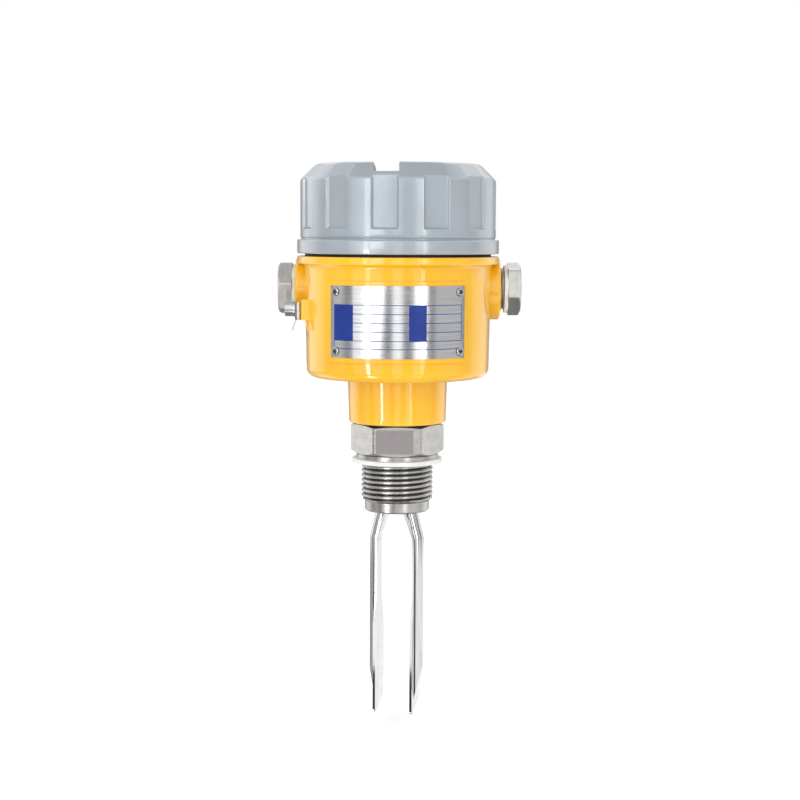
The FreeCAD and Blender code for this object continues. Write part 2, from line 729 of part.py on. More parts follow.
def drill_housing(body):
    entry = new_sketch(body, "entry_section", "YZ_Plane")
    draw_circle(entry, dim.conduit_radius, dim.boss_back, boss_height)
    pocket(body, "conduit_entries", entry, (boss_face + dim.overrun) * 2, symmetric=True)
    spots = new_sketch(body, "fixing_hole_section", "XY_Plane", lift=chamber_floor)
    for side in (-1, 1):
        draw_circle(spots, dim.fixing_radius + dim.thread_play, 0, column_side * side)
    pocket(body, "fixing_holes", spots, dim.fixing_depth + dim.tap_run)
    reach = dim.ground_thread_length + dim.tap_run
    ground = new_sketch(body, "ground_hole_section", "YZ_Plane", lift=reach - ground_face)
    draw_circle(ground, dim.ground_screw_radius + dim.thread_play, -ground_side, ground_height)
    pocket(body, "ground_hole", ground, reach + dim.overrun)
    for side, name in ((-1, "left"), (1, "right")):
        azimuth = dim.plate_screw_angle * side
        floor = pad_radius - dim.plate_screw_length
        holes = new_sketch(body, name + "_plate_holes_section", "XZ_Plane", floor, azimuth)
        for height in plate_screw_heights():
            draw_circle(holes, dim.plate_screw_radius + dim.thread_play, 0, height)
        pocket(body, name + "_plate_holes", holes, dim.plate_screw_length + dim.overrun, forwards=True)


def plate_screw_heights():
    return (dim.plate_foot + dim.plate_screw_inset, plate_top - dim.plate_screw_inset)


# Nameplate with its four screws


def radial(item, azimuth, distance, height):
    """Stands an upright piece on the housing wall, pointing out at an azimuth from the front."""
    item.Placement = Placement(Vector(0, 0, 0), Rotation(Vector(1, 0, 0), 90))
    bind(item, "Placement.Rotation.Axis.x", cosine(azimuth))
    bind(item, "Placement.Rotation.Axis.y", sine(azimuth))
    return move(item, sine(azimuth) * distance, -(cosine(azimuth) * distance), height)


def wall_sector(name, radius, height, foot, half_angle):
    item = cylinder(name, radius, height)
    item.Placement = Placement(Vector(0, 0, 0), Rotation(Vector(0, 0, 1), 1))
    bind(item, "Angle", half_angle * 2)
    bind(item, "Placement.Rotation.Angle", as_size(-90) - half_angle)
    return move(item, 0, 0, foot)


def make_nameplate():
    outer = pad_radius + dim.plate_thickness
    face = wall_sector("plate_outside", outer, dim.plate_height, dim.plate_foot, dim.plate_half_angle)
    back = wall_sector("plate_inside", pad_radius, dim.plate_height, dim.plate_foot, dim.plate_half_angle)
    holes = []
    screws = []
    for side in (-1, 1):
        for height in plate_screw_heights():
            label = "plate_screw_%d" % len(screws)
            azimuth = dim.plate_screw_angle * side
            hole = cylinder(label + "_hole", dim.plate_screw_radius + dim.thread_play, dim.overrun * 4)
            holes.append(radial(hole, azimuth, pad_radius - dim.overrun * 2, height))
            screws.append(make_plate_screw(label, azimuth, outer, height))
    plate = cut("plate_sheet", face, back)
    node(cut("plate_drilled", plate, fuse("plate_holes", holes)), "nameplate")
    node(group("plate_screw_group", screws), "nameplate_screws")


def make_plate_screw(label, azimuth, seat, height):
    """A pan head and a shank, turned as one piece."""
    body = new_body(label)
    foot = -dim.plate_screw_length
    draw = new_sketch(body, label + "_section", "XZ_Plane")
    draw_outline(draw, [
        (0, foot),
        (dim.plate_screw_radius, foot),
        (dim.plate_screw_radius, 0),
        (dim.plate_screw_head, 0),
        (dim.plate_screw_head, dim.plate_screw_rim),
        (dim.plate_screw_crown, dim.plate_screw_dome),
        (0, dim.plate_screw_dome),
    ])
    turned(body, label + "_form", draw)
    return radial(body, azimuth, seat, height)


# Ground terminal on the left: folded clamp, lock washer and socket screw


def make_ground_terminal():
    outside = ground_face + dim.clamp_gap
    hole = dim.ground_screw_radius + dim.ground_hole_play
    low = ground_height - dim.clamp_down
    tall = dim.clamp_up + dim.clamp_down
    back = ground_side - dim.clamp_width / 2
    front = ground_side + dim.clamp_width / 2
    sheet = dim.clamp_sheet
    fold = dim.clamp_fold
    body = new_body("ground_clamp_fold")
    loop = new_sketch(body, "clamp_loop", "XY_Plane", lift=low)
    draw_outline(loop, [
        (-outside, -back),
        (-outside, -(front - fold)),
        (-(outside - fold), -front),
        (-(ground_face + fold), -front),
        (-ground_face, -(front - fold)),
        (-ground_face, -back),
        (-(ground_face + sheet), -back),
        (-(ground_face + sheet), -(front - fold)),
        (-(ground_face + fold), -(front - sheet)),
        (-(outside - fold), -(front - sheet)),
        (-(outside - sheet), -(front - fold)),
        (-(outside - sheet), -back),
    ])
    pad(body, "clamp_leaves", loop, tall)
    tail = new_sketch(body, "clamp_tail_section", "XZ_Plane", lift=ground_side)
    run = dim.tail_reach * sine(dim.tail_tilt)
    drop = dim.tail_reach * cosine(dim.tail_tilt)
    draw_outline(tail, [
        (-outside, low + dim.tail_root),
        (-(outside + run), low - drop),
        (-(outside + run - sheet), low - drop),
        (-(outside - sheet), low + dim.tail_root),
    ])
    pad(body, "clamp_tail", tail, dim.tail_width, symmetric=True)
    drill = new_sketch(body, "clamp_hole_section", "YZ_Plane", lift=-(outside + dim.overrun))
    draw_circle(drill, hole, -ground_side, ground_height)
    pocket(body, "clamp_hole", drill, dim.clamp_gap + dim.overrun * 2, forwards=True)
    node(body, "ground_clamp")

    at = (-outside, -ground_side, ground_height)
    washer = ring("lock_washer", dim.ground_washer_radius, hole, dim.ground_washer_height, at, "-X")
    node(washer, "ground_lock_washer")

    seat = outside + dim.ground_washer_height
    head_at = (-seat, -ground_side, ground_height)
    head = cylinder("ground_head", dim.ground_head_radius, dim.ground_head_height, head_at, "-X")
    shank_length = seat - ground_face + dim.ground_thread_length
    shank = cylinder("ground_shank", dim.ground_screw_radius, shank_length, head_at, "X")
    floor = seat + dim.ground_head_height - dim.ground_socket_depth
    socket_at = (-floor, -ground_side, ground_height)
    depth = dim.ground_socket_depth + dim.overrun
    socket = prism("ground_socket", dim.ground_socket_flats, depth, socket_at, "-X")
    node(cut("ground_bolt", fuse("ground_bolt_blank", [head, shank]), socket), "ground_screw")


# Screw cap: turned and cast cap with flutes, a slot across the crown and a threaded bore


def make_cap():
    body = new_body("cap_casting")
    line_foot = cap_foot + dim.cap_ring_height
    wall_top = cap_foot + dim.cap_wall_height
    crown_radius = cap_wall_radius - (cap_top - wall_top)
    section = draw_outline(new_sketch(body, "cap_section", "XZ_Plane"), [
        (0, cap_foot),
        (collar_radius, cap_foot),
        (collar_radius, line_foot),
        (cap_wall_radius - dim.cap_line_depth, line_foot),
        (cap_wall_radius - dim.cap_line_depth, line_foot + dim.cap_line_height),
        (cap_wall_radius, line_foot + dim.cap_line_height),
        (cap_wall_radius, wall_top),
        (crown_radius, cap_top),
        (0, cap_top),
    ])
    turned(body, "cap_blank", section)
    fillet(body, "crown_edge", dim.crown_round, level_ring(crown_radius, cap_top))
    rims = (level_ring(collar_radius, line_foot), level_ring(collar_radius, cap_foot))
    fillet(body, "ring_edges", dim.cap_ring_round, *rims)
    cut_flutes(body, wall_top)
    fillet(body, "shoulder_edges", dim.shoulder_round, level_ring(cap_wall_radius, wall_top))

    slot = new_sketch(body, "slot_section", "XZ_Plane")
    half = dim.slot_width / 2
    floor = cap_top - dim.slot_depth
    draw_rectangle(slot, dim.slot_centre - half, floor, dim.slot_centre + half, cap_top + dim.overrun)
    pocket(body, "crown_slot", slot, collar_radius * 2, symmetric=True)

    hollow = draw_outline(new_sketch(body, "cap_hollow_section", "XZ_Plane"), [
        (0, cap_foot - dim.overrun),
        (cap_bore_radius, cap_foot - dim.overrun),
        (cap_bore_radius, spigot_top + dim.cap_run_out),
        (cap_bore_radius - dim.cap_thread_step, spigot_top + dim.cap_run_out * 2),
        (cap_bore_radius - dim.cap_thread_step, cap_top - dim.crown_thickness),
        (0, cap_top - dim.crown_thickness),
    ])
    groove(body, "cap_hollow", hollow)
    node(body, "screw_cap")

    seal_outer = cap_bore_radius + dim.seal_width
    seal = ring("seal", seal_outer, cap_bore_radius, dim.seal_height, (0, 0, collar_top))
    node(seal, "cap_seal_ring")


def cut_flutes(body, wall_top):
    """One flute in a plane through the axis, then the rest around the wall."""
    section = new_sketch(body, "flute_section", "YZ_Plane", azimuth=dim.flute_azimuth)
    floor = cap_wall_radius - dim.flute_depth
    bend = wall_top + dim.flute_depth - dim.flute_shoulder_depth
    outlet = cap_top + dim.overrun
    outlet_radius = floor - (outlet - bend)
    outside = collar_radius + dim.overrun
    draw_outline(section, [
        (-outside, cap_foot + dim.flute_foot),
        (-floor, cap_foot + dim.flute_foot),
        (-floor, bend),
        (-outlet_radius, outlet),
        (-outside, outlet),
    ])
    first = pocket(body, "first_flute", section, dim.flute_width, symmetric=True)
    pattern = body.newObject("PartDesign::PolarPattern", "flutes")
    pattern.Originals = [first]
    pattern.Axis = (section, ["V_Axis"])
    pattern.Angle = 360
    bind(pattern, "Occurrences", dim.flute_count)
    body.Tip = pattern
    doc.recompute()


# Conduit plugs with their sealing washers


def make_plug(name, side, slack, washer_height, head_height, turn):
    washer_foot = boss_face + slack
    seat = washer_foot + washer_height
    face = seat + head_height
    shank = dim.conduit_radius - dim.plug_play
    inner = seat - dim.plug_shank_length
    body = new_body(name + "_body")
    section = draw_outline(new_sketch(body, name + "_section", "XZ_Plane"), [
        (inner * side, dim.plug_hollow_radius),
        (inner * side, shank - dim.plug_lead),
        ((inner + dim.plug_lead) * side, shank),
        (seat * side, shank),
        (seat * side, dim.plug_turned_radius),
        ((face - dim.plug_bevel_depth) * side, dim.plug_turned_radius),
        (face * side, dim.plug_bevel_radius),
        (face * side, 0),
        ((inner + dim.plug_hollow_depth) * side, 0),
        ((inner + dim.plug_hollow_depth) * side, dim.plug_hollow_radius),
    ])
    turned(body, name + "_blank", section, "H_Axis")
    flats = new_sketch(body, name + "_flats_section", "YZ_Plane", lift=seat * side)
    draw_circle(flats, dim.plug_turned_radius + dim.overrun)
    draw_hexagon(flats, dim.plug_flats)
    pocket(body, name + "_flats", flats, head_height, forwards=side > 0)
    body.Placement = Placement(Vector(0, 0, 0), Rotation(Vector(1, 0, 0), 1))
    bind(body, "Placement.Rotation.Angle", turn)
    node(move(body, 0, dim.boss_back, boss_height), name)

    at = (washer_foot * side, dim.boss_back, boss_height)
    bore = shank + dim.plug_washer_play
    towards = "X" if side > 0 else "-X"
    washer = ring(name + "_ring", dim.plug_washer_radius, bore, washer_height, at, towards)
    node(washer, name + "_washer")


# Process connection: nose, pipe thread, sealing collar, hexagon and shank, bored for the drive stack


def make_process_connection():
    body = new_body("connection_body")
    nose_foot = membrane_foot
    weld = dim.membrane_radius + dim.weld_play
    section = draw_outline(new_sketch(body, "connection_section", "XZ_Plane"), [
        (weld, nose_foot),
        (dim.nose_radius - dim.nose_chamfer, nose_foot),
        (dim.nose_radius, nose_foot + dim.nose_chamfer),
        (dim.nose_radius, -dim.thread_length),
        (dim.thread_radius - dim.thread_lead, -dim.thread_length),
        (dim.thread_radius, dim.thread_lead - dim.thread_length),
        (dim.thread_radius, 0),
        (dim.washer_face_radius, 0),
        (dim.washer_face_radius, dim.washer_face_height),
        (dim.hex_bevel_radius, dim.washer_face_height),
        (dim.hex_turned_radius, dim.washer_face_height + dim.hex_bevel_height),
        (dim.hex_turned_radius, hex_top - dim.hex_crown_height),
        (dim.hex_bevel_radius, hex_top),
        (dim.shank_radius, hex_top),
        (dim.shank_radius, shank_top),
        (dim.sensor_bore_radius, shank_top),
        (dim.sensor_bore_radius, membrane_top),
        (weld, membrane_top),
    ])
    turned(body, "connection_blank", section)
    flats = new_sketch(body, "connection_flats_section", "XY_Plane", lift=dim.washer_face_height)
    draw_circle(flats, dim.hex_turned_radius + dim.overrun)
    draw_hexagon(flats, dim.hex_flats)
    pocket(body, "connection_flats", flats, dim.hex_height, forwards=True)
    node(body, "process_connection")

    bore = dim.thread_radius + dim.gasket_play
    gasket = ring("gasket", dim.gasket_radius, bore, dim.gasket_height, (0, 0, -dim.gasket_height))
    node(gasket, "process_gasket")
    seal_bore = dim.shank_radius + dim.neck_seal_play
    seal_outer = seal_bore + dim.neck_seal_width
    node(ring("neck_seal", seal_outer, seal_bore, dim.neck_gap, (0, 0, hex_top)), "neck_seal_ring")


# Fork: membrane and two tines, each with a sloped neck, a ribbed stem and a paddle


def tine_section(sketch, inner, crest):
    """The stem's section: a flat inner face, thin edges and a round rib outside."""
    half = dim.stem_width / 2
    shoulder = inner + dim.blade_thickness
    corners = [
        (inner, -half),
        (shoulder, -half, crest - shoulder),
        (shoulder, half),
        (inner, half),
    ]
    return draw_outline(sketch, corners)


def make_tine():
    body = new_body("tine")
    straight = membrane_foot - dim.neck_drop
    top = tine_section(new_sketch(body, "neck_top_section", "XY_Plane", lift=membrane_foot),
                       dim.neck_inner, dim.neck_crest)
    knee = tine_section(new_sketch(body, "neck_foot_section", "XY_Plane", lift=straight),
                        dim.tine_inner, dim.tine_crest)
    neck = feature(body, "AdditiveLoft", "neck", top)
    neck.Sections = [knee]
    neck.Ruled = True
    doc.recompute()

    stem = tine_section(new_sketch(body, "stem_section", "XY_Plane", lift=straight),
                        dim.tine_inner, dim.tine_crest)
    pad(body, "stem", stem, dim.bevel_end - dim.neck_drop, backwards=True)

    bevel = new_sketch(body, "bevel_section", "XZ_Plane")
    edge = dim.tine_inner + dim.blade_thickness
    lifted = dim.tine_crest + dim.bevel_lift
    start = membrane_foot - dim.bevel_start
    end = membrane_foot - dim.bevel_end - dim.overrun
    draw_outline(bevel, [
        (lifted, start),
        (lifted + dim.overrun, start),
        (lifted + dim.overrun, end),
        (edge - dim.bevel_sink, end),
    ])
    pocket(body, "rib_bevel", bevel, dim.stem_width + dim.overrun, symmetric=True)
    add_paddle(body)
    doc.recompute()
    return body


def add_paddle(body):
    half = dim.blade_width / 2
    narrow = dim.stem_width / 2
    front = membrane_foot - dim.front_drop
    rear = membrane_foot - dim.rear_drop
    flare = membrane_foot - dim.flare_start
    blade = new_sketch(body, "paddle_section", "YZ_Plane", lift=dim.tine_inner)
    draw_outline(blade, [
        (-narrow, flare + dim.paddle_root),
        (-narrow, flare),
        (-half, membrane_foot - dim.flare_end),
        (-half, front),
        (half, rear),
        (half, membrane_foot - dim.flare_end),
        (narrow, flare),
        (narrow, flare + dim.paddle_root),
    ])
    pad(body, "paddle", blade, dim.blade_thickness)

    def corner(side, height):
        def test(edge, extent):
            upright = extent.XLength > dim.blade_thickness.value / 2
            return upright and close(extent.YMin, half * side) and close(extent.ZMin, height)
        return test

    fillet(body, "front_corner", dim.front_tip_round, corner(-1, front))
    fillet(body, "rear_corner", dim.rear_tip_round, corner(1, rear))


def make_fork():
    tine = make_tine()
    twin = doc.addObject("Part::Mirroring", "second_tine")
    twin.Source = tine
    twin.Base = Vector(0, 0, 0)
    twin.Normal = Vector(1, 0, 0)
    disc = cylinder("membrane", dim.membrane_radius, dim.membrane_height, (0, 0, membrane_foot))
    fork = fuse("fork_form", [disc, tine, twin])
    fork.Placement = Placement(Vector(0, 0, 0), Rotation(Vector(0, 0, 1), 1))
    bind(fork, "Placement.Rotation.Angle", dim.fork_turn)
    node(fork, "fork")


# Drive stack: bolt, insulators, ceramic discs with contact foils, nut and wires


def make_drive_stack():
    level = membrane_top
    node(cylinder("bolt_form", dim.drive_bolt_radius, dim.drive_bolt_length, (0, 0, level)), "drive_bolt")
    bore = dim.stack_bore_radius

    def disc(name, radius, height):
        return ring(name, radius, bore, height, (0, 0, level))

    node(disc("lower_disc", dim.stack_radius, dim.insulator_height), "lower_insulator")
    level = level + dim.insulator_height
    foils = [disc("foil_0", dim.electrode_radius, dim.electrode_height)]
    discs = []
    for count in range(int(dim.piezo_count.value)):
        level = level + dim.electrode_height
        discs.append(disc("ceramic_%d" % count, dim.piezo_radius, dim.piezo_height))
        level = level + dim.piezo_height
        foils.append(disc("foil_%d" % (count + 1), dim.electrode_radius, dim.electrode_height))
    level = level + dim.electrode_height
    node(group("ceramic_group", discs), "piezo_discs")
    node(group("foil_group", foils), "contact_foils")
    node(disc("upper_disc", dim.stack_radius, dim.insulator_height), "upper_insulator")
    level = level + dim.insulator_height
    form = prism("nut_form", dim.nut_flats, dim.nut_height, (0, 0, level))
    hole = cylinder("nut_hole", dim.drive_bolt_radius + dim.thread_play, dim.nut_height, (0, 0, level))
    node(cut("drive_nut_form", form, hole), "drive_nut")
    wires = []
    foot = level
    for side in (-1, 1):
        at = (0, dim.wire_side * side, foot)
        wires.append(cylinder("wire_%d" % (side + 1), dim.wire_radius, board_foot - foot, at))
    node(group("wire_group", wires), "sensor_wires")


# Electronics insert: cup, circuit board, cover, fixing screws and what stands on the board


def upright_pair(name, radius, foot, height):
    """Two cylinders on the axes of the fixing screws."""
    pair = []
    for side in (-1, 1):
        at = (0, column_side * side, foot)
        pair.append(cylinder("%s_%d" % (name, side + 1), radius, height, at))
    return pair


def make_insert():
    clear = dim.fixing_radius + dim.fixing_play
    shell = cylinder("cup_outside", cup_radius, dim.cup_height, (0, 0, chamber_floor))
    inside_at = (0, 0, chamber_floor + dim.cup_floor)
    inside = cylinder("cup_inside", cup_radius - dim.cup_wall, dim.cup_height - dim.cup_floor, inside_at)
    tall = dim.cup_floor + dim.column_height
    columns = upright_pair("cup_column", dim.column_radius, chamber_floor, tall)
    drills = upright_pair("cup_drill", clear, chamber_floor, tall)
    drills.append(cylinder("cup_wire_way", dim.cup_wire_hole, dim.cup_floor, (0, 0, chamber_floor)))
    cup = fuse("cup_blank", [cut("cup_shell", shell, inside)] + columns)
    node(cut("cup_drilled", cup, fuse("cup_drills", drills)), "insert_cup")

    board_radius = cup_radius - dim.cup_wall - dim.board_room
    plate = cylinder("board_disc", board_radius, dim.board_height, (0, 0, board_foot))
    drills = upright_pair("board_drill", clear, board_foot, dim.board_height)
    node(cut("board_drilled", plate, fuse("board_drills", drills)), "circuit_board")

    cover = cylinder("cover_disc", cup_radius, dim.cover_height, (0, 0, cup_top))
    node(cut("cover_cut", cover, fuse("cover_windows", cover_windows(clear))), "insert_cover")

    screws = []
    length = cover_top - chamber_floor + dim.fixing_depth
    for side in (-1, 1):
        label = "fixing_%d" % (side + 1)
        spot = column_side * side
        head_at = (0, spot, cover_top)
        head = cylinder(label + "_head", dim.fixing_head_radius, dim.fixing_head_height, head_at)
        shank = cylinder(label + "_shank", dim.fixing_radius, length, (0, spot, cover_top - length))
        screws.append(fuse(label, [head, shank]))
    node(group("fixing_group", screws), "insert_screws")


def terminal_length():
    return dim.terminal_pitch * dim.terminal_count + dim.terminal_ends


def cover_windows(clear):
    play = dim.window_play
    windows = upright_pair("cover_drill", clear, cup_top, dim.cover_height)
    size = (terminal_length() + play * 2, dim.terminal_width + play * 2, dim.cover_height)
    corner = (-(size[0] / 2), dim.terminal_side - size[1] / 2, cup_top)
    windows.append(box("terminal_window", size, corner))
    size = (dim.switch_length + play * 2, dim.switch_width + play * 2, dim.cover_height)
    corner = (-dim.switch_side - size[0] / 2, -dim.switch_front - size[1] / 2, cup_top)
    windows.append(box("switch_window", size, corner))
    at = (dim.switch_side, -dim.switch_front, cup_top)
    windows.append(cylinder("trimmer_window", dim.trimmer_radius + play, dim.cover_height, at))
    for side in (-1, 1):
        at = (dim.lamp_pitch / 2 * side, -dim.lamp_front, cup_top)
        label = "lamp_window_%d" % (side + 1)
        windows.append(cylinder(label, dim.lamp_radius + play, dim.cover_height, at))
    return windows


def make_terminals():
    length = terminal_length()
    corner = (-(length / 2), dim.terminal_side - dim.terminal_width / 2, board_top)
    block = box("terminal_blank", (length, dim.terminal_width, dim.terminal_height), corner)
    back = dim.terminal_side + dim.terminal_width / 2
    top = board_top + dim.terminal_height
    cuts = []
    screws = []
    count = int(dim.terminal_count.value)
    for pole in range(count):
        across = dim.terminal_pitch * (pole - (count - 1) / 2)
        port = (dim.terminal_port, dim.terminal_port_depth + dim.overrun, dim.terminal_port)
        sill = board_top + dim.terminal_port_rise
        at = (across - dim.terminal_port / 2, back - dim.terminal_port_depth, sill)
        cuts.append(box("port_%d" % pole, port, at))
        floor = top - dim.terminal_well_depth
        along = dim.terminal_side - dim.terminal_screw_shift
        well_depth = dim.terminal_well_depth + dim.overrun
        spot = (across, along, floor)
        cuts.append(cylinder("well_%d" % pole, dim.terminal_well_radius, well_depth, spot))
        head_radius = dim.terminal_screw_radius
        head = cylinder("terminal_head_%d" % pole, head_radius, dim.terminal_screw_height, spot)
        slot_floor = floor + dim.terminal_screw_height - dim.terminal_slot
        slot_at = (across - head_radius, along - dim.terminal_slot / 2, slot_floor)
        size = (head_radius * 2, dim.terminal_slot, dim.terminal_slot + dim.overrun)
        slot = box("terminal_slot_%d" % pole, size, slot_at)
        screws.append(cut("terminal_screw_%d" % pole, head, slot))
    node(cut("terminal_form", block, fuse("terminal_cuts", cuts)), "terminal_block")
    node(group("terminal_screw_group", screws), "terminal_screws")


def make_mode_switch():
    """A block with two slots, each with a slider that stands at its left end."""
    top = board_top + dim.switch_height
    left = -dim.switch_side - dim.switch_length / 2
    front = -dim.switch_front - dim.switch_width / 2
    size = (dim.switch_length, dim.switch_width, dim.switch_height)
    blank = box("switch_blank", size, (left, front, board_top))
    slots = []
    slot_length = dim.slider_length + dim.slider_stroke + dim.slider_play * 2
    slot_left = -dim.switch_side - slot_length / 2
    for side, label in ((-1, "failsafe_slider"), (1, "density_slider")):
        line = dim.slider_pitch / 2 * side - dim.switch_front
        width = dim.slider_width + dim.slider_play * 2
        floor = top - dim.slider_depth
        size = (slot_length, width, dim.slider_depth + dim.overrun)
        slots.append(box(label + "_slot", size, (slot_left, line - width / 2, floor)))
        knob = (dim.slider_length, dim.slider_width, dim.slider_depth + dim.slider_rise)
        at = (slot_left + dim.slider_play, line - dim.slider_width / 2, floor)
        node(box(label + "_knob", knob, at), label)
    node(cut("switch_form", blank, fuse("switch_slots", slots)), "mode_switch_block")


def make_trimmer():
    across, along = dim.switch_side, -dim.switch_front
    top = board_top + dim.trimmer_height
    floor = top - dim.rotor_sink
    case = cylinder("trimmer_case", dim.trimmer_radius, dim.trimmer_height, (across, along, board_top))
    seat_radius = dim.rotor_radius + dim.rotor_play
    seat = cylinder("trimmer_seat", seat_radius, dim.rotor_sink + dim.overrun, (across, along, floor))
    node(cut("trimmer_form", case, seat), "delay_trimmer_body")
    drum = cylinder("rotor_drum", dim.rotor_radius, dim.rotor_height, (across, along, floor))
    length = (dim.rotor_radius + dim.overrun) * 2
    slot_floor = floor + dim.rotor_height - dim.rotor_slot_depth
    slot_at = (across - length / 2, along - dim.rotor_slot_width / 2, slot_floor)
    size = (length, dim.rotor_slot_width, dim.rotor_slot_depth + dim.overrun)
    slot = box("rotor_slot", size, slot_at)
    node(cut("rotor_form", drum, slot), "delay_trimmer_rotor")


def make_lamps():
    lamps = []
    for side in (-1, 1):
        at = (dim.lamp_pitch / 2 * side, -dim.lamp_front, board_top)
        stem = cylinder("lamp_stem_%d" % (side + 1), dim.lamp_radius, dim.lamp_height - dim.lamp_radius, at)
        dome = doc.addObject("Part::Sphere", "lamp_dome_%d" % (side + 1))
        bind(dome, "Radius", dim.lamp_radius)
        move(dome, at[0], at[1], board_top + dim.lamp_height - dim.lamp_radius)
        lamps.append(fuse("lamp_%d" % (side + 1), [stem, dome]))
    node(group("lamp_group", lamps), "status_lamps")


def make_board_underside():
    """Relay, transformer and capacitor hang under the board, inside the cup."""
    size = (dim.relay_length, dim.relay_width, dim.relay_height)
    at = (-dim.inside_side - size[0] / 2, dim.inside_back - size[1] / 2, board_foot - size[2])
    node(box("relay_case", size, at), "relay")
    size = (dim.transformer_length, dim.transformer_width, dim.transformer_height)
    at = (dim.inside_side - size[0] / 2, dim.inside_back - size[1] / 2, board_foot - size[2])
    node(box("transformer_case", size, at), "transformer")
    at = (dim.capacitor_side, -dim.capacitor_front, board_foot - dim.capacitor_height)
    node(cylinder("capacitor_can", dim.capacitor_radius, dim.capacitor_height, at), "storage_capacitor")


def check_and_export():
    """Every object must have worked out, and every piece must be a valid solid."""
    doc.recompute()
    for item in doc.Objects:
        if "Invalid" in item.State or "Error" in item.State:
            raise RuntimeError("%s failed: %s" % (item.Name, item.State))
    os.makedirs("parts", exist_ok=True)
    for item in nodes:
        shape = item.Shape
        if shape.isNull() or not shape.isValid() or not shape.Solids:
            raise RuntimeError("%s has no valid solid" % item.Label)
    for item in nodes:
        item.Shape.exportStep(os.path.join("parts", item.Label + ".step"))
        print("%-22s %d solid(s) %9.0f mm3" % (item.Label, len(item.Shape.Solids), item.Shape.Volume))


make_housing()
make_nameplate()
make_ground_terminal()
make_cap()
make_plug("left_plug", -1, as_size(0), dim.left_washer_height, dim.left_head_height, dim.left_plug_turn)
make_plug("right_plug", 1, dim.right_plug_slack, dim.right_washer_height, dim.right_head_height,
          dim.right_plug_turn)
make_process_connection()
make_fork()
make_drive_stack()
make_insert()
make_terminals()
make_mode_switch()
make_trimmer()
make_lamps()
make_board_underside()
check_and_export()
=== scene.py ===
"""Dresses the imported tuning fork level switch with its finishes, threads and print, and sets its studio."""

import math

import bmesh
import bpy
from mathutils import Matrix, Vector


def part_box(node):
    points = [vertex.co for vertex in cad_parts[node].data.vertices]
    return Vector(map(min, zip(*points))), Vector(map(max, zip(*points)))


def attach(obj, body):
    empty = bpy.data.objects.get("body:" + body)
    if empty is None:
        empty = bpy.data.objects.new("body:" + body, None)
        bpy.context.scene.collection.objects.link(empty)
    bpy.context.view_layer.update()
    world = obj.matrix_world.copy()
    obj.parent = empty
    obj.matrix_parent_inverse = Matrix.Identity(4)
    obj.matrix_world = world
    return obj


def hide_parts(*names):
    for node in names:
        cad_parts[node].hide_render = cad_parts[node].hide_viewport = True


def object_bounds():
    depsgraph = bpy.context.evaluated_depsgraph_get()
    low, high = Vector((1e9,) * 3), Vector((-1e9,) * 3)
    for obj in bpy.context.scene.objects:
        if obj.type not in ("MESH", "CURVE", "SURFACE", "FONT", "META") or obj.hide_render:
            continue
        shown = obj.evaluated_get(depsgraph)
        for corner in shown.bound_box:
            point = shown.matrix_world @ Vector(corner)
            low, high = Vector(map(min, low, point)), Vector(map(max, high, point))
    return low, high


bl_info = {
    "name": "Tuning Fork Level Switch",
    "version": (1, 0, 0),
    "blender": (4, 5, 0),
    "location": "View3D > Sidebar > Level Switch",
    "description": "Dresses the level switch with enamel, steel, threads and print, and sets its studio",
    "category": "Object",
}

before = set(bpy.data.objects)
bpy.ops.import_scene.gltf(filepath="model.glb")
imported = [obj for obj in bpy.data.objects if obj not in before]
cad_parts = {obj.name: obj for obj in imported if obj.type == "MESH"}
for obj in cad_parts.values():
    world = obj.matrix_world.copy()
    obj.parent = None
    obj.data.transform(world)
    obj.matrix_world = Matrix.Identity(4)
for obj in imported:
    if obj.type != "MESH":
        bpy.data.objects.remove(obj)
CAD_BOX = [list(corner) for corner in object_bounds()]
MM = 0.001


# Sizes and colours that a user would change


def colour(name, description, default):
    return bpy.props.FloatVectorProperty(
        name=name, description=description, subtype="COLOR", size=3, min=0, max=1, default=default)


def length(name, description, default):
    return bpy.props.FloatProperty(
        name=name, description=description, subtype="DISTANCE", unit="LENGTH", precision=6, default=default)


def turn(name, description, degrees):
    return bpy.props.FloatProperty(
        name=name, description=description, subtype="ANGLE", default=math.radians(degrees))


class EnamelSettings(bpy.types.PropertyGroup):
    """Colours and skin of the two enamelled castings."""

    housing_colour: colour("Housing", "Warm yellow enamel of the housing", (0.93, 0.49, 0.001))
    cap_colour: colour("Cap", "Grey enamel of the screw cap", (0.375, 0.42, 0.46))
    skin_depth: length("Skin depth", "Height of the ripple in the enamel", 0.00002)


class CapSettings(bpy.types.PropertyGroup):
    """Flutes and slot of the screw cap, cast with soft edges."""

    flute_count: bpy.props.IntProperty(name="Flutes", description="Flutes around the wall", default=12, min=3)
    flute_turn: turn("Turn", "Turn of the first flute from the front", -7.5)
    flute_width: length("Flute width", "Width of a flute", 0.0115)
    flute_depth: length("Flute depth", "Depth of a flute in the wall", 0.0017)
    flute_foot: length("Flute foot", "Rim of the cap to the foot of a flute", 0.0115)
    soft_edge: length("Soft edge", "Width over which a flute sinks into the wall", 0.0010)
    slot_width: length("Slot width", "Slot across the crown", 0.0112)
    slot_centre: length("Slot place", "Slot beside the axis", -0.0052)
    slot_depth: length("Slot depth", "Depth of the slot in the crown", 0.0044)


class SteelSettings(bpy.types.PropertyGroup):
    """Colours and edges of the stainless pieces."""

    turned_colour: colour("Turned", "Turned stainless steel", (0.60, 0.585, 0.56))
    polished_colour: colour("Polished", "Polished stainless steel of the fork", (0.70, 0.695, 0.68))
    edge_break: length("Edge break", "Width of the broken edges of machined steel", 0.00022)


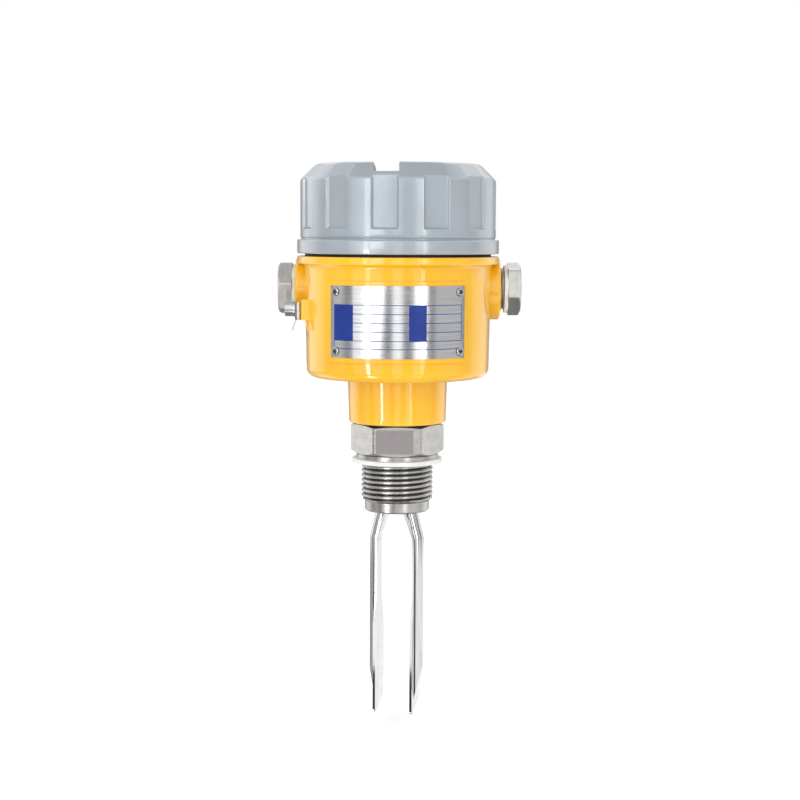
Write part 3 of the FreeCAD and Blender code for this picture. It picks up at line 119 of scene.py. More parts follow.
class ThreadSettings(bpy.types.PropertyGroup):
    """Threads, which the CAD solids leave plain."""

    pipe_pitch: length("Pipe pitch", "Pitch of the one inch parallel pipe thread", 0.002309)
    pipe_depth: length("Pipe depth", "Depth of the pipe thread", 0.00148)
    plug_pitch: length("Plug pitch", "Pitch of the conduit plugs", 0.0015)
    plug_depth: length("Plug depth", "Depth of the conduit plugs' thread", 0.00085)
    cap_pitch: length("Cap pitch", "Pitch of the spigot's thread", 0.002)
    spigot_ridge: length("Spigot ridge", "Height of the spigot's thread over its cylinder", 0.00024)


class PrintSettings(bpy.types.PropertyGroup):
    """Printed fields of the nameplate, which carry no words."""

    field_colour: colour("Fields", "Blue ink of the fields and lines", (0.010, 0.035, 0.25))
    line_width: length("Line", "Width of the printed lines", 0.0003)
    table_top: length("Table top", "Upper edge of the printed table", 0.0727)
    row_height: length("Row", "Height of a row of the table", 0.00395)


class StudioSettings(bpy.types.PropertyGroup):
    """Camera and floor."""

    camera_distance: length("Distance", "Camera in front of the axis", 0.788)
    camera_height: length("Height", "Camera over the sealing face", 0.1055)
    camera_across: length("Across", "Camera beside the axis", 0.0012)
    camera_pitch: turn("Pitch", "Camera tilted down", 5.711)
    camera_roll: turn("Roll", "Camera turned about its view", 0.25)
    lens: bpy.props.FloatProperty(
        name="Lens", description="Focal length for a 36 mm wide frame, in millimetres", default=76.5)
    floor_gap: length("Floor", "Floor under the tips of the fork", 0.004)


# Node trees


class Recipe:
    """Adds nodes to one tree and wires them up."""

    def __init__(self, tree):
        self.tree = tree

    def feed(self, socket, value):
        if isinstance(value, bpy.types.NodeSocket):
            self.tree.links.new(value, socket)
        elif hasattr(value, "__len__") and len(value) == 3 and socket.type == "RGBA":
            socket.default_value = (*value, 1.0)
        else:
            socket.default_value = value

    def node(self, kind, *inputs, **named):
        item = self.tree.nodes.new(kind)
        for socket, value in zip(item.inputs, inputs):
            if value is not None:
                self.feed(socket, value)
        for name, value in named.items():
            self.feed(item.inputs[name.replace("_", " ")], value)
        return item

    def maths(self, operation, *values):
        item = self.node("ShaderNodeMath", *values)
        item.operation = operation
        return item.outputs[0]

    def times(self, first, second):
        return self.maths("MULTIPLY", first, second)

    def plus(self, first, second):
        return self.maths("ADD", first, second)

    def vector(self, operation, *values):
        item = self.node("ShaderNodeVectorMath", *values)
        item.operation = operation
        return item.outputs["Value" if operation in ("DOT_PRODUCT", "LENGTH") else "Vector"]

    def place(self):
        """Position in the row frame, which is every piece's own frame."""
        return self.tree.nodes.new("ShaderNodeTexCoord").outputs["Object"]

    def noise(self, vector, scale, detail=2.0, roughness=0.5):
        item = self.node("ShaderNodeTexNoise", Vector=vector, Scale=scale, Detail=detail, Roughness=roughness)
        return item.outputs["Fac"]

    def spread(self, value, low, high, out_low=0.0, out_high=1.0, smooth=False):
        item = self.node("ShaderNodeMapRange", value, low, high, out_low, out_high)
        item.interpolation_type = "SMOOTHSTEP" if smooth else "LINEAR"
        return item.outputs["Result"]

    def contrast(self, value, low=0.0, high=1.0):
        """Spreads the usual reach of a noise over two values."""
        return self.spread(value, 0.3, 0.7, low, high)

    def mix(self, factor, first, second):
        item = self.tree.nodes.new("ShaderNodeMix")
        item.data_type = "RGBA"
        self.feed(item.inputs["Factor"], factor)
        for label, colour in (("A", first), ("B", second)):
            self.feed([s for s in item.inputs if s.name == label and s.type == "RGBA"][0], colour)
        return [s for s in item.outputs if s.type == "RGBA"][0]

    def bump(self, height, distance, strength=1.0, normal=None):
        item = self.node("ShaderNodeBump", Strength=strength, Distance=distance, Height=height)
        if normal is not None:
            self.feed(item.inputs["Normal"], normal)
        return item.outputs["Normal"]

    def combine(self, x, y, z):
        return self.node("ShaderNodeCombineXYZ", x, y, z).outputs[0]

    def split(self, vector):
        return self.node("ShaderNodeSeparateXYZ", vector).outputs

    def effect(self, name, **inputs):
        """Places a shared effect in this tree."""
        item = self.tree.nodes.new("ShaderNodeGroup")
        item.node_tree = bpy.data.node_groups[name]
        for key, value in inputs.items():
            self.feed(item.inputs[key.replace("_", " ")], value)
        return item.outputs


def new_effect(name, inputs, outputs):
    """A node group with named sockets, and the recipe that fills it."""
    tree = bpy.data.node_groups.new(name, "ShaderNodeTree")
    for label, value in inputs:
        kind = "NodeSocketVector" if hasattr(value, "__len__") else "NodeSocketFloat"
        socket = tree.interface.new_socket(label, in_out="INPUT", socket_type=kind)
        socket.default_value = value
    for label in outputs:
        tree.interface.new_socket(label, in_out="OUTPUT", socket_type="NodeSocketFloat")
    return Recipe(tree), tree.nodes.new("NodeGroupInput").outputs, tree.nodes.new("NodeGroupOutput").inputs


def make_enamel_skin():
    """Ripple of sprayed enamel, with slow changes of tint and gloss and a few dust specks."""
    inputs = [("Ripple", 1100.0), ("Drift", 22.0)]
    recipe, given, out = new_effect("enamel skin", inputs, ["Height", "Tint", "Gloss", "Specks"])
    place = recipe.place()
    fine = recipe.noise(place, given["Ripple"], 1.5)
    wide = recipe.noise(place, 140.0, 1.0)
    recipe.feed(out["Height"], recipe.plus(recipe.times(fine, 0.35), recipe.times(wide, 0.65)))
    recipe.feed(out["Tint"], recipe.noise(place, given["Drift"], 3.0))
    recipe.feed(out["Gloss"], recipe.noise(place, 75.0, 4.0, 0.6))
    recipe.feed(out["Specks"], recipe.spread(recipe.noise(place, 2600.0, 0.0), 0.78, 0.84))


def make_edge_rub():
    """Mask of worn convex edges, broken up by noise."""
    flat = 0.5
    recipe, given, out = new_effect("edge rub", [("Reach", 0.08), ("Breakup", 260.0)], ["Mask"])
    point = recipe.tree.nodes.new("ShaderNodeNewGeometry").outputs["Pointiness"]
    edge = recipe.spread(point, flat, recipe.plus(flat, given["Reach"]), smooth=True)
    broken = recipe.spread(recipe.noise(recipe.place(), given["Breakup"], 5.0, 0.7), 0.4, 0.62)
    recipe.feed(out["Mask"], recipe.times(edge, broken))


def make_turning_marks():
    """Tool marks of a lathe: rings about an axis, with the slow bands that they make in a reflection."""
    band_pitch = 700.0
    inputs = [("Axis", (0.0, 0.0, 1.0)), ("Centre", (0.0, 0.0, 0.0)), ("Pitch", 9000.0)]
    recipe, given, out = new_effect("turning marks", inputs, ["Height", "Bands"])
    offset = recipe.vector("SUBTRACT", recipe.place(), given["Centre"])
    along = recipe.vector("DOT_PRODUCT", offset, given["Axis"])
    radial = recipe.vector("LENGTH", recipe.vector("CROSS_PRODUCT", offset, given["Axis"]))
    pitch = given["Pitch"]
    fine = recipe.combine(recipe.times(along, pitch), recipe.times(radial, pitch), 0.0)
    slow = recipe.combine(recipe.times(along, band_pitch), recipe.times(radial, band_pitch), 3.0)
    recipe.feed(out["Height"], recipe.noise(fine, 1.0, 3.0, 0.6))
    recipe.feed(out["Bands"], recipe.noise(slow, 1.0, 2.0))


def make_brushed_grain():
    """Long scratches along one direction."""
    inputs = [("Stretch", (300.0, 300.0, 9000.0))]
    recipe, given, out = new_effect("brushed grain", inputs, ["Height", "Streaks"])
    stretched = recipe.vector("MULTIPLY", recipe.place(), given["Stretch"])
    coarse = recipe.vector("MULTIPLY", stretched, (0.25, 0.25, 0.25))
    recipe.feed(out["Height"], recipe.noise(stretched, 1.0, 3.0, 0.65))
    recipe.feed(out["Streaks"], recipe.noise(coarse, 1.0, 2.0))


def make_handling_marks():
    """Faint smears and dust that change the gloss."""
    recipe, given, out = new_effect("handling marks", [("Size", 40.0)], ["Smears", "Dust"])
    place = recipe.place()
    smear = recipe.noise(recipe.vector("MULTIPLY", place, (1.0, 1.0, 0.45)), given["Size"], 6.0, 0.62)
    recipe.feed(out["Smears"], recipe.spread(smear, 0.46, 0.66, smooth=True))
    recipe.feed(out["Dust"], recipe.spread(recipe.noise(place, 3500.0, 1.0), 0.7, 0.8))


def make_moulded_skin():
    """Fine spark texture of moulded plastic."""
    recipe, given, out = new_effect("moulded skin", [("Grain", 3200.0)], ["Height", "Tint"])
    place = recipe.place()
    recipe.feed(out["Height"], recipe.noise(place, given["Grain"], 2.0))
    recipe.feed(out["Tint"], recipe.noise(place, 90.0, 3.0))


def new_material(name):
    material = bpy.data.materials.new(name)
    material.use_nodes = True
    return Recipe(material.node_tree), material.node_tree.nodes["Principled BSDF"].inputs


def shade_of(colour, factor, lift=0.0):
    return [min(1.0, part * factor + lift) for part in colour]


def settle(recipe, surface, colour, rough, normal=None, **constants):
    """Feeds the surface, and sets the constants on its sockets."""
    recipe.feed(surface["Base Color"], colour)
    recipe.feed(surface["Roughness"], rough)
    if normal is not None:
        recipe.feed(surface["Normal"], normal)
    for name, value in constants.items():
        surface[name.replace("_", " ")].default_value = value


def enamel(name, colour, rough, depth, metallic=0.0, seam=None):
    """Sprayed enamel; at the height of the seam a casting's parting line crosses the bosses as a bumped ridge
    with a painted highlight.
    """
    body_edge, boss_start = 0.0408, 0.0414
    recipe, surface = new_material(name)
    skin = recipe.effect("enamel skin")
    marks = recipe.effect("handling marks", Size=55.0)
    rub = recipe.effect("edge rub", Reach=0.16)
    # a lighter enamel: thin enamel on rubbed edges, and a painted highlight along the parting line
    thin_enamel_and_highlight = shade_of(colour, 1.12, 0.05)
    tint = recipe.mix(recipe.contrast(skin["Tint"]), shade_of(colour, 0.90), shade_of(colour, 1.06, 0.012))
    tint = recipe.mix(recipe.times(rub["Mask"], 0.35), tint, thin_enamel_and_highlight)
    tint = recipe.mix(recipe.times(skin["Specks"], 0.25), tint, (0.75, 0.75, 0.72))
    gloss = recipe.contrast(skin["Gloss"], rough * 0.8, rough * 1.25)
    normal = recipe.bump(skin["Height"], depth)
    if seam:
        place = recipe.split(recipe.place())
        off = recipe.maths("ABSOLUTE", recipe.maths("SUBTRACT", place["Z"], seam))
        line = recipe.spread(off, 0.00012, 0.00034, 1.0, 0.0, smooth=True)
        outside = recipe.spread(recipe.maths("ABSOLUTE", place["X"]), body_edge, boss_start)
        line = recipe.times(line, outside)
        # the parting line's ridge is bumped and painted lighter, a painted highlight
        tint = recipe.mix(recipe.times(line, 0.6), tint, thin_enamel_and_highlight)
        normal = recipe.bump(line, 0.00012, 1.0, normal)
    settle(recipe, surface, tint, recipe.plus(gloss, recipe.times(marks["Smears"], 0.05)), normal,
           IOR=1.4, Metallic=metallic, Coat_Weight=1.0, Coat_Roughness=0.035)
    recipe.feed(surface["Coat Normal"], normal)


def turned_steel(name, colour, rough, axis=(0, 0, 1), centre=(0, 0, 0), pitch=9000.0, root=None):
    """Machined stainless steel, with rings about its own axis; below the root radius a thread is painted near
    black as painted shade.
    """
    recipe, surface = new_material(name)
    rings = recipe.effect("turning marks", Axis=axis, Centre=centre, Pitch=pitch)
    marks = recipe.effect("handling marks", Size=70.0)
    rub = recipe.effect("edge rub", Reach=0.12)
    shade = recipe.mix(recipe.contrast(rings["Bands"]), shade_of(colour, 0.82), colour)
    shade = recipe.mix(recipe.times(marks["Dust"], 0.3), shade, (0.30, 0.28, 0.26))
    shade = recipe.mix(recipe.times(rub["Mask"], 0.6), shade, (0.85, 0.84, 0.82))
    # painted shade: below the root radius the thread's colour goes near black
    if root:
        radius = recipe.vector("LENGTH", recipe.vector("MULTIPLY", recipe.place(), (1.0, 1.0, 0.0)))
        root_shade = recipe.spread(radius, root - 0.0003, root + 0.0005, 0.75, 0.0)
        shade = recipe.mix(root_shade, shade, (0.05, 0.046, 0.042))
    gloss = recipe.contrast(rings["Height"], rough * 0.8, rough * 1.3)
    settle(recipe, surface, shade, recipe.plus(gloss, recipe.times(marks["Smears"], 0.10)),
           recipe.bump(rings["Height"], 0.000004), Metallic=1.0)


def brushed_steel(name, colour, rough, stretch, depth=0.000003, smears=0.08):
    """Ground or brushed steel, with scratches along one direction."""
    recipe, surface = new_material(name)
    grain = recipe.effect("brushed grain", Stretch=stretch)
    marks = recipe.effect("handling marks", Size=50.0)
    rub = recipe.effect("edge rub", Reach=0.12)
    shade = recipe.mix(recipe.contrast(grain["Streaks"]), shade_of(colour, 0.86), colour)
    shade = recipe.mix(recipe.times(rub["Mask"], 0.5), shade, (0.86, 0.86, 0.85))
    gloss = recipe.contrast(grain["Height"], rough * 0.75, rough * 1.3)
    settle(recipe, surface, shade, recipe.plus(gloss, recipe.times(marks["Smears"], smears)),
           recipe.bump(grain["Height"], depth), Metallic=1.0)


def plastic(name, colour, rough, grain=3200.0, depth=0.000006, metallic=0.0, shine=0.5):
    """Moulded plastic, rubber, ceramic or lacquer, with a fine skin."""
    recipe, surface = new_material(name)
    skin = recipe.effect("moulded skin", Grain=grain)
    marks = recipe.effect("handling marks", Size=90.0)
    shade = recipe.mix(recipe.contrast(skin["Tint"]), shade_of(colour, 0.86), shade_of(colour, 1.08, 0.004))
    shade = recipe.mix(recipe.times(marks["Dust"], 0.12), shade, (0.55, 0.54, 0.52))
    settle(recipe, surface, shade, recipe.plus(rough, recipe.times(marks["Smears"], 0.08)),
           recipe.bump(skin["Height"], depth), Metallic=metallic, Specular_IOR_Level=shine)


def hatched_patch(name):
    """Patch that a laser has dulled with fine level lines."""
    line_pitch = 0.00072
    recipe, surface = new_material(name)
    place = recipe.place()
    lines = recipe.maths("SINE", recipe.times(recipe.split(place)["Z"], 2 * math.pi / line_pitch))
    shade = recipe.mix(recipe.spread(lines, -0.4, 0.8), (0.45, 0.42, 0.415), (0.31, 0.28, 0.275))
    cloud = recipe.spread(recipe.noise(place, 320.0, 3.0), 0.35, 0.65, 0.0, 0.5)
    settle(recipe, surface, recipe.mix(cloud, shade, (0.36, 0.325, 0.365)),
           recipe.spread(lines, -1.0, 1.0, 0.42, 0.6), recipe.bump(lines, 0.00001, 0.6), Metallic=1.0)


def floor_paint(name):
    recipe, surface = new_material(name)
    cloud = recipe.contrast(recipe.noise(recipe.place(), 6.0, 3.0))
    settle(recipe, surface, recipe.mix(cloud, (0.93, 0.93, 0.93), (0.96, 0.96, 0.96)), 0.7,
           Specular_IOR_Level=0.2, Emission_Color=(1, 1, 1, 1), Emission_Strength=0.22)


# Mesh code


def link(name, data):
    """A new object in the scene."""
    item = bpy.data.objects.new(name, data)
    bpy.context.scene.collection.objects.link(item)
    return item


def new_piece(name, mesh, body, material_slot, *nodes, flat_sides=False):
    """Links a mesh as a piece that rides on a CAD body and stands for CAD nodes."""
    piece = link(name, mesh)
    if flat_sides:
        shading = piece.modifiers.new("flat_sides", "WEIGHTED_NORMAL")
        shading.weight = 90
        shading.keep_sharp = True
    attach(piece, body)
    if nodes:
        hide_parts(*nodes)
    return piece


def finish_mesh(mesh, degrees=32):
    """Smooth shading, with every edge sharper than that angle left sharp."""
    for face in mesh.polygons:
        face.use_smooth = True
    mesh.set_sharp_from_angle(angle=math.radians(degrees))
    return mesh


def add_finishes(mesh, *finishes):
    for finish in finishes:
        mesh.materials.append(bpy.data.materials[finish])
    return mesh


def dress_node(node, finish):
    """Gives a CAD node that keeps its own shape its finish."""
    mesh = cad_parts[node].data
    mesh.materials.clear()
    add_finishes(mesh, finish)


def mesh_of(name, shape, *finishes):
    """The shape as a mesh with its materials."""
    mesh = bpy.data.meshes.new(name)
    shape.to_mesh(mesh)
    shape.free()
    return add_finishes(mesh, *finishes)


def settled_mesh(name, holder, *tools):
    """The mesh that the holder's modifiers make; the holder and its tools go."""
    graph = bpy.context.evaluated_depsgraph_get()
    mesh = bpy.data.meshes.new_from_object(holder.evaluated_get(graph))
    mesh.name = name
    for item in (holder, *tools):
        bpy.data.objects.remove(item)
    return mesh


def welded_copy(node):
    """The CAD node's faces joined up again, with flat areas as single faces."""
    shape = bmesh.new()
    shape.from_mesh(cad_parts[node].data)
    bmesh.ops.remove_doubles(shape, verts=shape.verts, dist=0.2e-6)
    bmesh.ops.dissolve_limit(shape, angle_limit=math.radians(0.4), verts=shape.verts, edges=shape.edges)
    return shape


def drop_faces(shape, test):
    gone = [face for face in shape.faces if test(face)]
    bmesh.ops.delete(shape, geom=gone, context="FACES")


def rounded_mesh(name, shape, width, segments, degrees, *finishes):
    """The shape with its edges over that angle rounded by a bevel of that width."""
    holder = link(name + "_raw", mesh_of(name + "_raw", shape))
    bevel = holder.modifiers.new("edges", "BEVEL")
    bevel.width = width
    bevel.segments = segments
    bevel.limit_method = "ANGLE"
    bevel.angle_limit = math.radians(degrees)
    bevel.use_clamp_overlap = True
    bevel.miter_outer = "MITER_ARC"
    mesh = settled_mesh(name, holder)
    mesh.materials.clear()
    return finish_mesh(add_finishes(mesh, *finishes))


def bridge(shape, first, second):
    """Quads between two closed rows of vertices."""
    return [shape.faces.new((first[left], first[left + 1], second[left + 1], second[left]))
            for left in range(-1, len(first) - 1)]


def add_thread(shape, pitch, depth, major, start, end, limit, across=Matrix.Identity(4), steps=96,
               fullness=2.0):
    """A right-handed thread about +Z, as rows along the helix, clipped to its span and to the radius limit."""
    samples = 10
    rows = int((end - start) / pitch + 2) * samples
    grid = []
    for step in range(steps + 1):
        turn = step / steps
        column = []
        for row in range(rows + 1):
            height = start + pitch * (row / samples + turn - 1)
            wave = 0.5 - 0.5 * math.cos(2 * math.pi * row / samples)
            radius = major - depth * (1 - wave) ** fullness
            height = min(max(height, start), end)
            radius = min(radius, limit(height))
            angle = 2 * math.pi * turn
            spot = Vector((radius * math.cos(angle), radius * math.sin(angle), height))
            column.append(shape.verts.new(across @ spot))
        grid.append(column)
    for near, far in zip(grid, grid[1:]):
        for row in range(rows):
            corners = [near[row], far[row], far[row + 1], near[row + 1]]
            if len(set(tuple(round(c, 7) for c in v.co) for v in corners)) == 4:
                shape.faces.new(corners)
    loose = [v for column in grid for v in column if not v.link_faces]
    bmesh.ops.delete(shape, geom=loose, context="VERTS")
    bmesh.ops.remove_doubles(shape, verts=[v for column in grid for v in column if v.is_valid], dist=0.3e-6)


def rounded_piece(name, node, finish, body, material_slot, width, segments, degrees, flat_sides=False):
    """The CAD node with its edges rounded, as a piece of one finish."""
    mesh = rounded_mesh(name, welded_copy(node), width, segments, degrees, finish)
    new_piece(name, mesh, body, material_slot, node, flat_sides=flat_sides)


# Operators, one for each piece or group of like pieces


class LEVELSWITCH_OT_finishes(bpy.types.Operator):
    """Make the shared effects and the materials"""

    bl_idname = "levelswitch.finishes"
    bl_label = "Finishes"

    def execute(self, context):
        scene = context.scene
        coats, steel, ink = scene.level_switch_enamel, scene.level_switch_steel, scene.level_switch_print
        for make in (make_enamel_skin, make_edge_rub, make_turning_marks, make_brushed_grain,
                     make_handling_marks, make_moulded_skin):
            make()
        low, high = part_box("left_plug")
        centre = (0.0, (low.y + high.y) / 2, (low.z + high.z) / 2)
        seam_over_plugs, pipe_radius, root_depth = 0.001, 0.03325 / 2, 0.00115
        seam = centre[2] + seam_over_plugs
        enamel("housing enamel", coats.housing_colour, 0.32, coats.skin_depth, seam=seam)
        enamel("cap enamel", coats.cap_colour, 0.36, coats.skin_depth * 0.8, metallic=0.3)
        turned, polished = list(steel.turned_colour), list(steel.polished_colour)
        turned_steel("turned steel", turned, 0.26)
        turned_steel("thread steel", turned, 0.24, pitch=5000.0, root=pipe_radius - root_depth)
        turned_steel("plug steel", turned, 0.28, axis=(1, 0, 0), centre=centre, pitch=6000.0)
        turned_steel("cut aluminium", (0.72, 0.72, 0.73), 0.36, pitch=4000.0)
        brushed_steel("polished steel", polished, 0.07, (2500.0, 2500.0, 160.0), 0.0000015, 0.05)
        brushed_steel("plate steel", (0.70, 0.705, 0.715), 0.15, (260.0, 260.0, 9000.0), 0.000003, 0.06)
        brushed_steel("hardware steel", (0.66, 0.66, 0.65), 0.17, (9000.0, 9000.0, 3000.0), 0.0000015)
        brushed_steel("screw steel", (0.50, 0.49, 0.48), 0.18, (1500.0, 1500.0, 1500.0))
        brushed_steel("brass", (0.80, 0.60, 0.26), 0.25, (2600.0, 2600.0, 900.0))
        plastic("blue ink", ink.field_colour, 0.34, 1800.0, 0.000002, shine=0.25)
        # near-black finish painted into the screws' recesses and rims as painted shade
        plastic("painted recess shade", (0.05, 0.048, 0.045), 0.4, metallic=0.5)
        plastic("white gasket", (0.80, 0.82, 0.825), 0.42, 900.0, 0.000004)
        plastic("black rubber", (0.018, 0.018, 0.019), 0.62, 2400.0)
        plastic("insert plastic", (0.045, 0.046, 0.05), 0.5)
        plastic("ceramic", (0.85, 0.83, 0.77), 0.3)
        plastic("silvered ceramic", (0.56, 0.53, 0.48), 0.4, metallic=0.6)
        plastic("circuit board", (0.015, 0.16, 0.05), 0.28, 1500.0)
        plastic("terminal plastic", (0.03, 0.28, 0.10), 0.45)
        plastic("red plastic", (0.55, 0.02, 0.015), 0.35)
        plastic("white plastic", (0.82, 0.82, 0.80), 0.38)
        plastic("blue plastic", (0.02, 0.09, 0.42), 0.35)
        plastic("lamp lens", (0.70, 0.10, 0.05), 0.12)
        plastic("component case", (0.06, 0.06, 0.068), 0.4)
        plastic("wire sleeve", (0.62, 0.03, 0.025), 0.4)
        hatched_patch("laser hatching")
        floor_paint("pale floor")
        return {"FINISHED"}


def soften_pads(shape):
    """Rounds the rims of the nameplate's pad and of the ground pad."""
    plate, near, steep, short, beside = 0.0005, 0.00003, 0.9, 0.0005, 0.03
    face = -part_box("nameplate")[0].y - plate
    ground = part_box("ground_clamp")[1].x

    def at_rim(vertex):
        on_pad = abs(vertex.co.xy.length - face) < near and vertex.co.y < 0
        return on_pad or abs(vertex.co.x - ground) < near

    rims = [edge for edge in shape.edges if all(at_rim(v) for v in edge.verts)
            and edge.calc_face_angle(0.0) > steep and edge.is_convex]
    middle = [edge for edge in rims if edge.calc_length() > short or abs(edge.verts[0].co.x) > beside]
    bmesh.ops.bevel(shape, geom=middle, offset=0.00042, offset_type="OFFSET", segments=3, profile=0.5,
                    affect="EDGES", clamp_overlap=True)


def spigot_radius(rim):
    """Largest radius of the housing above its collar."""
    points = (vertex.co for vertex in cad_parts["housing"].data.vertices)
    return max(math.hypot(point.x, point.y) for point in points if point.z > rim + 0.002)


class LEVELSWITCH_OT_housing(bpy.types.Operator):
    """Enamelled housing with a bare machined spigot and its thread"""

    bl_idname = "levelswitch.housing"
    bl_label = "Housing"

    def execute(self, context):
        threads = context.scene.level_switch_threads
        shape = welded_copy("housing")
        soften_pads(shape)
        mesh = rounded_mesh("housing_casting", shape, 0.00045, 2, 34, "housing enamel", "cut aluminium")
        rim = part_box("cap_seal_ring")[0].z
        for face in mesh.polygons:
            if face.center.z > rim + 0.0001:
                face.material_index = 1
        new_piece("housing_casting", mesh, "sensor_housing", "housing_enamel", "housing", flat_sides=True)

        sunk, undercut, lead = 0.0003, 0.0014, 0.0006
        top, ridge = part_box("housing")[1].z, threads.spigot_ridge
        shape = bmesh.new()
        add_thread(shape, threads.cap_pitch, ridge + sunk, spigot_radius(rim) + ridge,
                   rim + undercut, top - lead, lambda height: 1.0, steps=128, fullness=1.2)
        mesh = finish_mesh(mesh_of("spigot_thread", shape, "cut aluminium"), 60)
        new_piece("spigot_thread", mesh, "sensor_housing", "small_hardware")
        return {"FINISHED"}


def arc(across, up, radius, start, end, steps):
    """Points of an arc about (across, up), between two angles in degrees."""
    turns = [math.radians(start + (end - start) * step / steps) for step in range(steps + 1)]
    return [(across + radius * math.cos(turn), up + radius * math.sin(turn)) for turn in turns]


def ease(value):
    """A soft step from 0 to 1."""
    value = min(max(value, 0.0), 1.0)
    return value * value * (3 - 2 * value)


def over_edge(reach):
    """Where rows of points cross a soft edge, as shares of its width from its middle."""
    half = (0.12, 0.25, 0.38, 0.5, reach)
    return [-share for share in half[::-1]] + [0.0] + list(half)


# The cap's hollow as radii and heights, where flutes can start, and how deep they lie in the shoulder, in mm
HOLLOW = [(20.0, 32.8), (39.5, 32.8), (39.5, 14.0), (41.3, 13.0), (41.3, 0.0)]
WALL_FOOT = 9.0
BED_DROP = 6.1


def cap_section(ring, top, form):
    """Radii and heights in millimetres, from the rim over the outside to the crown."""
    wall, shoulder, soft, foot = ring - 1.5, top - 7.3, form.soft_edge / MM, form.flute_foot / MM
    lip, groove, bend, brow = 0.7, 0.3, 2.5, 4.5
    rows = arc(ring - lip, lip, lip, -90, 0, 5) + arc(ring - lip, 5.7, lip, 0, 90, 5)
    rows.append((wall + 0.2, 6.4))
    rows += arc(wall - 0.1, 6.7, groove, -90, -180, 4) + arc(wall - 0.1, 7.0, groove, 180, 90, 4)
    rows += arc(wall - 0.1, 7.4, 0.1, -90, 0, 2) + [(wall, WALL_FOOT)]
    rows += [(wall, foot + soft * share) for share in over_edge(0.8)]
    rise = shoulder - foot - 1.04
    rows += [(wall, foot + rise * share) for share in (0.15, 0.3, 0.45, 0.6, 0.75, 0.88)]
    rows += arc(wall - bend, shoulder - 1.036, bend, 0, 45, 8)
    start, end = (wall - 0.732, shoulder + 0.732), (wall - 5.982, top - 1.318)
    for share in (0.05, 0.09, 0.14, 0.25, 0.4, 0.6, 0.8):
        rows.append(tuple(a + (b - a) * share for a, b in zip(start, end)))
    rows += arc(wall - 9.164, top - brow, brow, 45, 90, 10)
    return rows + [(radius, top) for radius in (33.5, 28.0, 20.0, 11.0, 4.0)]


def flute_columns(form, radius):
    """Each column's azimuth from the middle of its flute at that radius, and its flute's azimuth."""
    half, soft, pitch = form.flute_width / MM / 2, form.soft_edge / MM, 2 * math.pi / form.flute_count
    edges = [half - soft * share for share in over_edge(0.6)]
    offsets = [-edge for edge in edges] + [-3.0, 0.0, 3.0] + edges[::-1]
    turns = [math.asin(offset / max(radius, 37.0)) for offset in offsets]
    rib = pitch - 2 * turns[-1]
    turns += [turns[-1] + rib * share for share in (0.08, 0.25, 0.42, 0.58, 0.75, 0.92)]
    return [(turn, form.flute_turn + pitch * flute) for flute in range(form.flute_count) for turn in turns]


def add_cap_skin(shape, outside, form, top, rim):
    """A closed skin of rings, which the flutes push in."""
    half, soft, foot = form.flute_width / MM / 2, form.soft_edge / MM, form.flute_foot / MM
    floor = max(radius for radius, height in outside if height > WALL_FOOT) - form.flute_depth / MM
    inside = len(HOLLOW)
    rings = []
    for index, (radius, height) in enumerate(HOLLOW + outside):
        ring = []
        for turn, azimuth in flute_columns(form, radius):
            reach = radius
            if index >= inside and height > WALL_FOOT:
                bed = min(floor, top + floor - BED_DROP - height) / math.cos(turn)
                sink = ease((half - abs(radius * math.sin(turn))) / soft + 0.5)
                sink *= ease((height - foot) / soft + 0.5)
                reach = radius - sink * max(radius - bed, 0.0)
            angle = azimuth + turn
            spot = Vector((reach * math.sin(angle), -reach * math.cos(angle), height)) * MM
            ring.append(shape.verts.new(spot + Vector((0, 0, rim))))
        rings.append(ring)
    for index, (below, above) in enumerate(zip(rings, rings[1:])):
        for face in bridge(shape, below, above):
            face.material_index = 1 if index < inside - 1 else 0
    shape.faces.new(rings[0][::-1]).material_index = 1
    shape.faces.new(rings[-1])
    bmesh.ops.recalc_face_normals(shape, faces=shape.faces)


def cut_slot(blank, form, top):
    """The slot across the crown, with a rounded rim."""
    half, floor = form.slot_width / MM / 2, -form.slot_depth / MM
    rim, root, reach = 0.6, 0.4, 0.05
    side = [(half + rim, 1.0)] + arc(half + rim, -rim, rim, 90, 180, 5)
    side += arc(half - root, floor + root, root, 0, -90, 4)
    outline = side + [(-across, up) for across, up in side[::-1]]
    shape = bmesh.new()
    middle = form.slot_centre
    ends = [[shape.verts.new((middle + across * MM, depth, top + up * MM)) for across, up in outline]
            for depth in (-reach, reach)]
    bridge(shape, *ends)
    for end in ends:
        shape.faces.new(end)
    bmesh.ops.recalc_face_normals(shape, faces=shape.faces)
    cutter, holder = link("slot_cutter", mesh_of("slot_cutter", shape)), link("cap_blank", blank)
    cut = holder.modifiers.new("slot", "BOOLEAN")
    cut.operation = "DIFFERENCE"
    cut.solver = "EXACT"
    cut.object = cutter
    return settled_mesh("fluted_cap", holder, cutter)


class LEVELSWITCH_OT_cap(bpy.types.Operator):
    """Screw cap with soft flutes, a sloped shoulder and a slot across the crown"""

    bl_idname = "levelswitch.cap"
    bl_label = "Screw cap"

    def execute(self, context):
        form = context.scene.level_switch_cap
        low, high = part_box("screw_cap")
        top = (high.z - low.z) / MM
        shape = bmesh.new()
        add_cap_skin(shape, cap_section(high.x / MM, top, form), form, top, low.z)
        blank = mesh_of("fluted_cap", shape, "cap enamel", "cut aluminium")
        mesh = finish_mesh(cut_slot(blank, form, high.z), 40)
        new_piece("fluted_cap", mesh, "cap", "cap_enamel", "screw_cap")
        return {"FINISHED"}


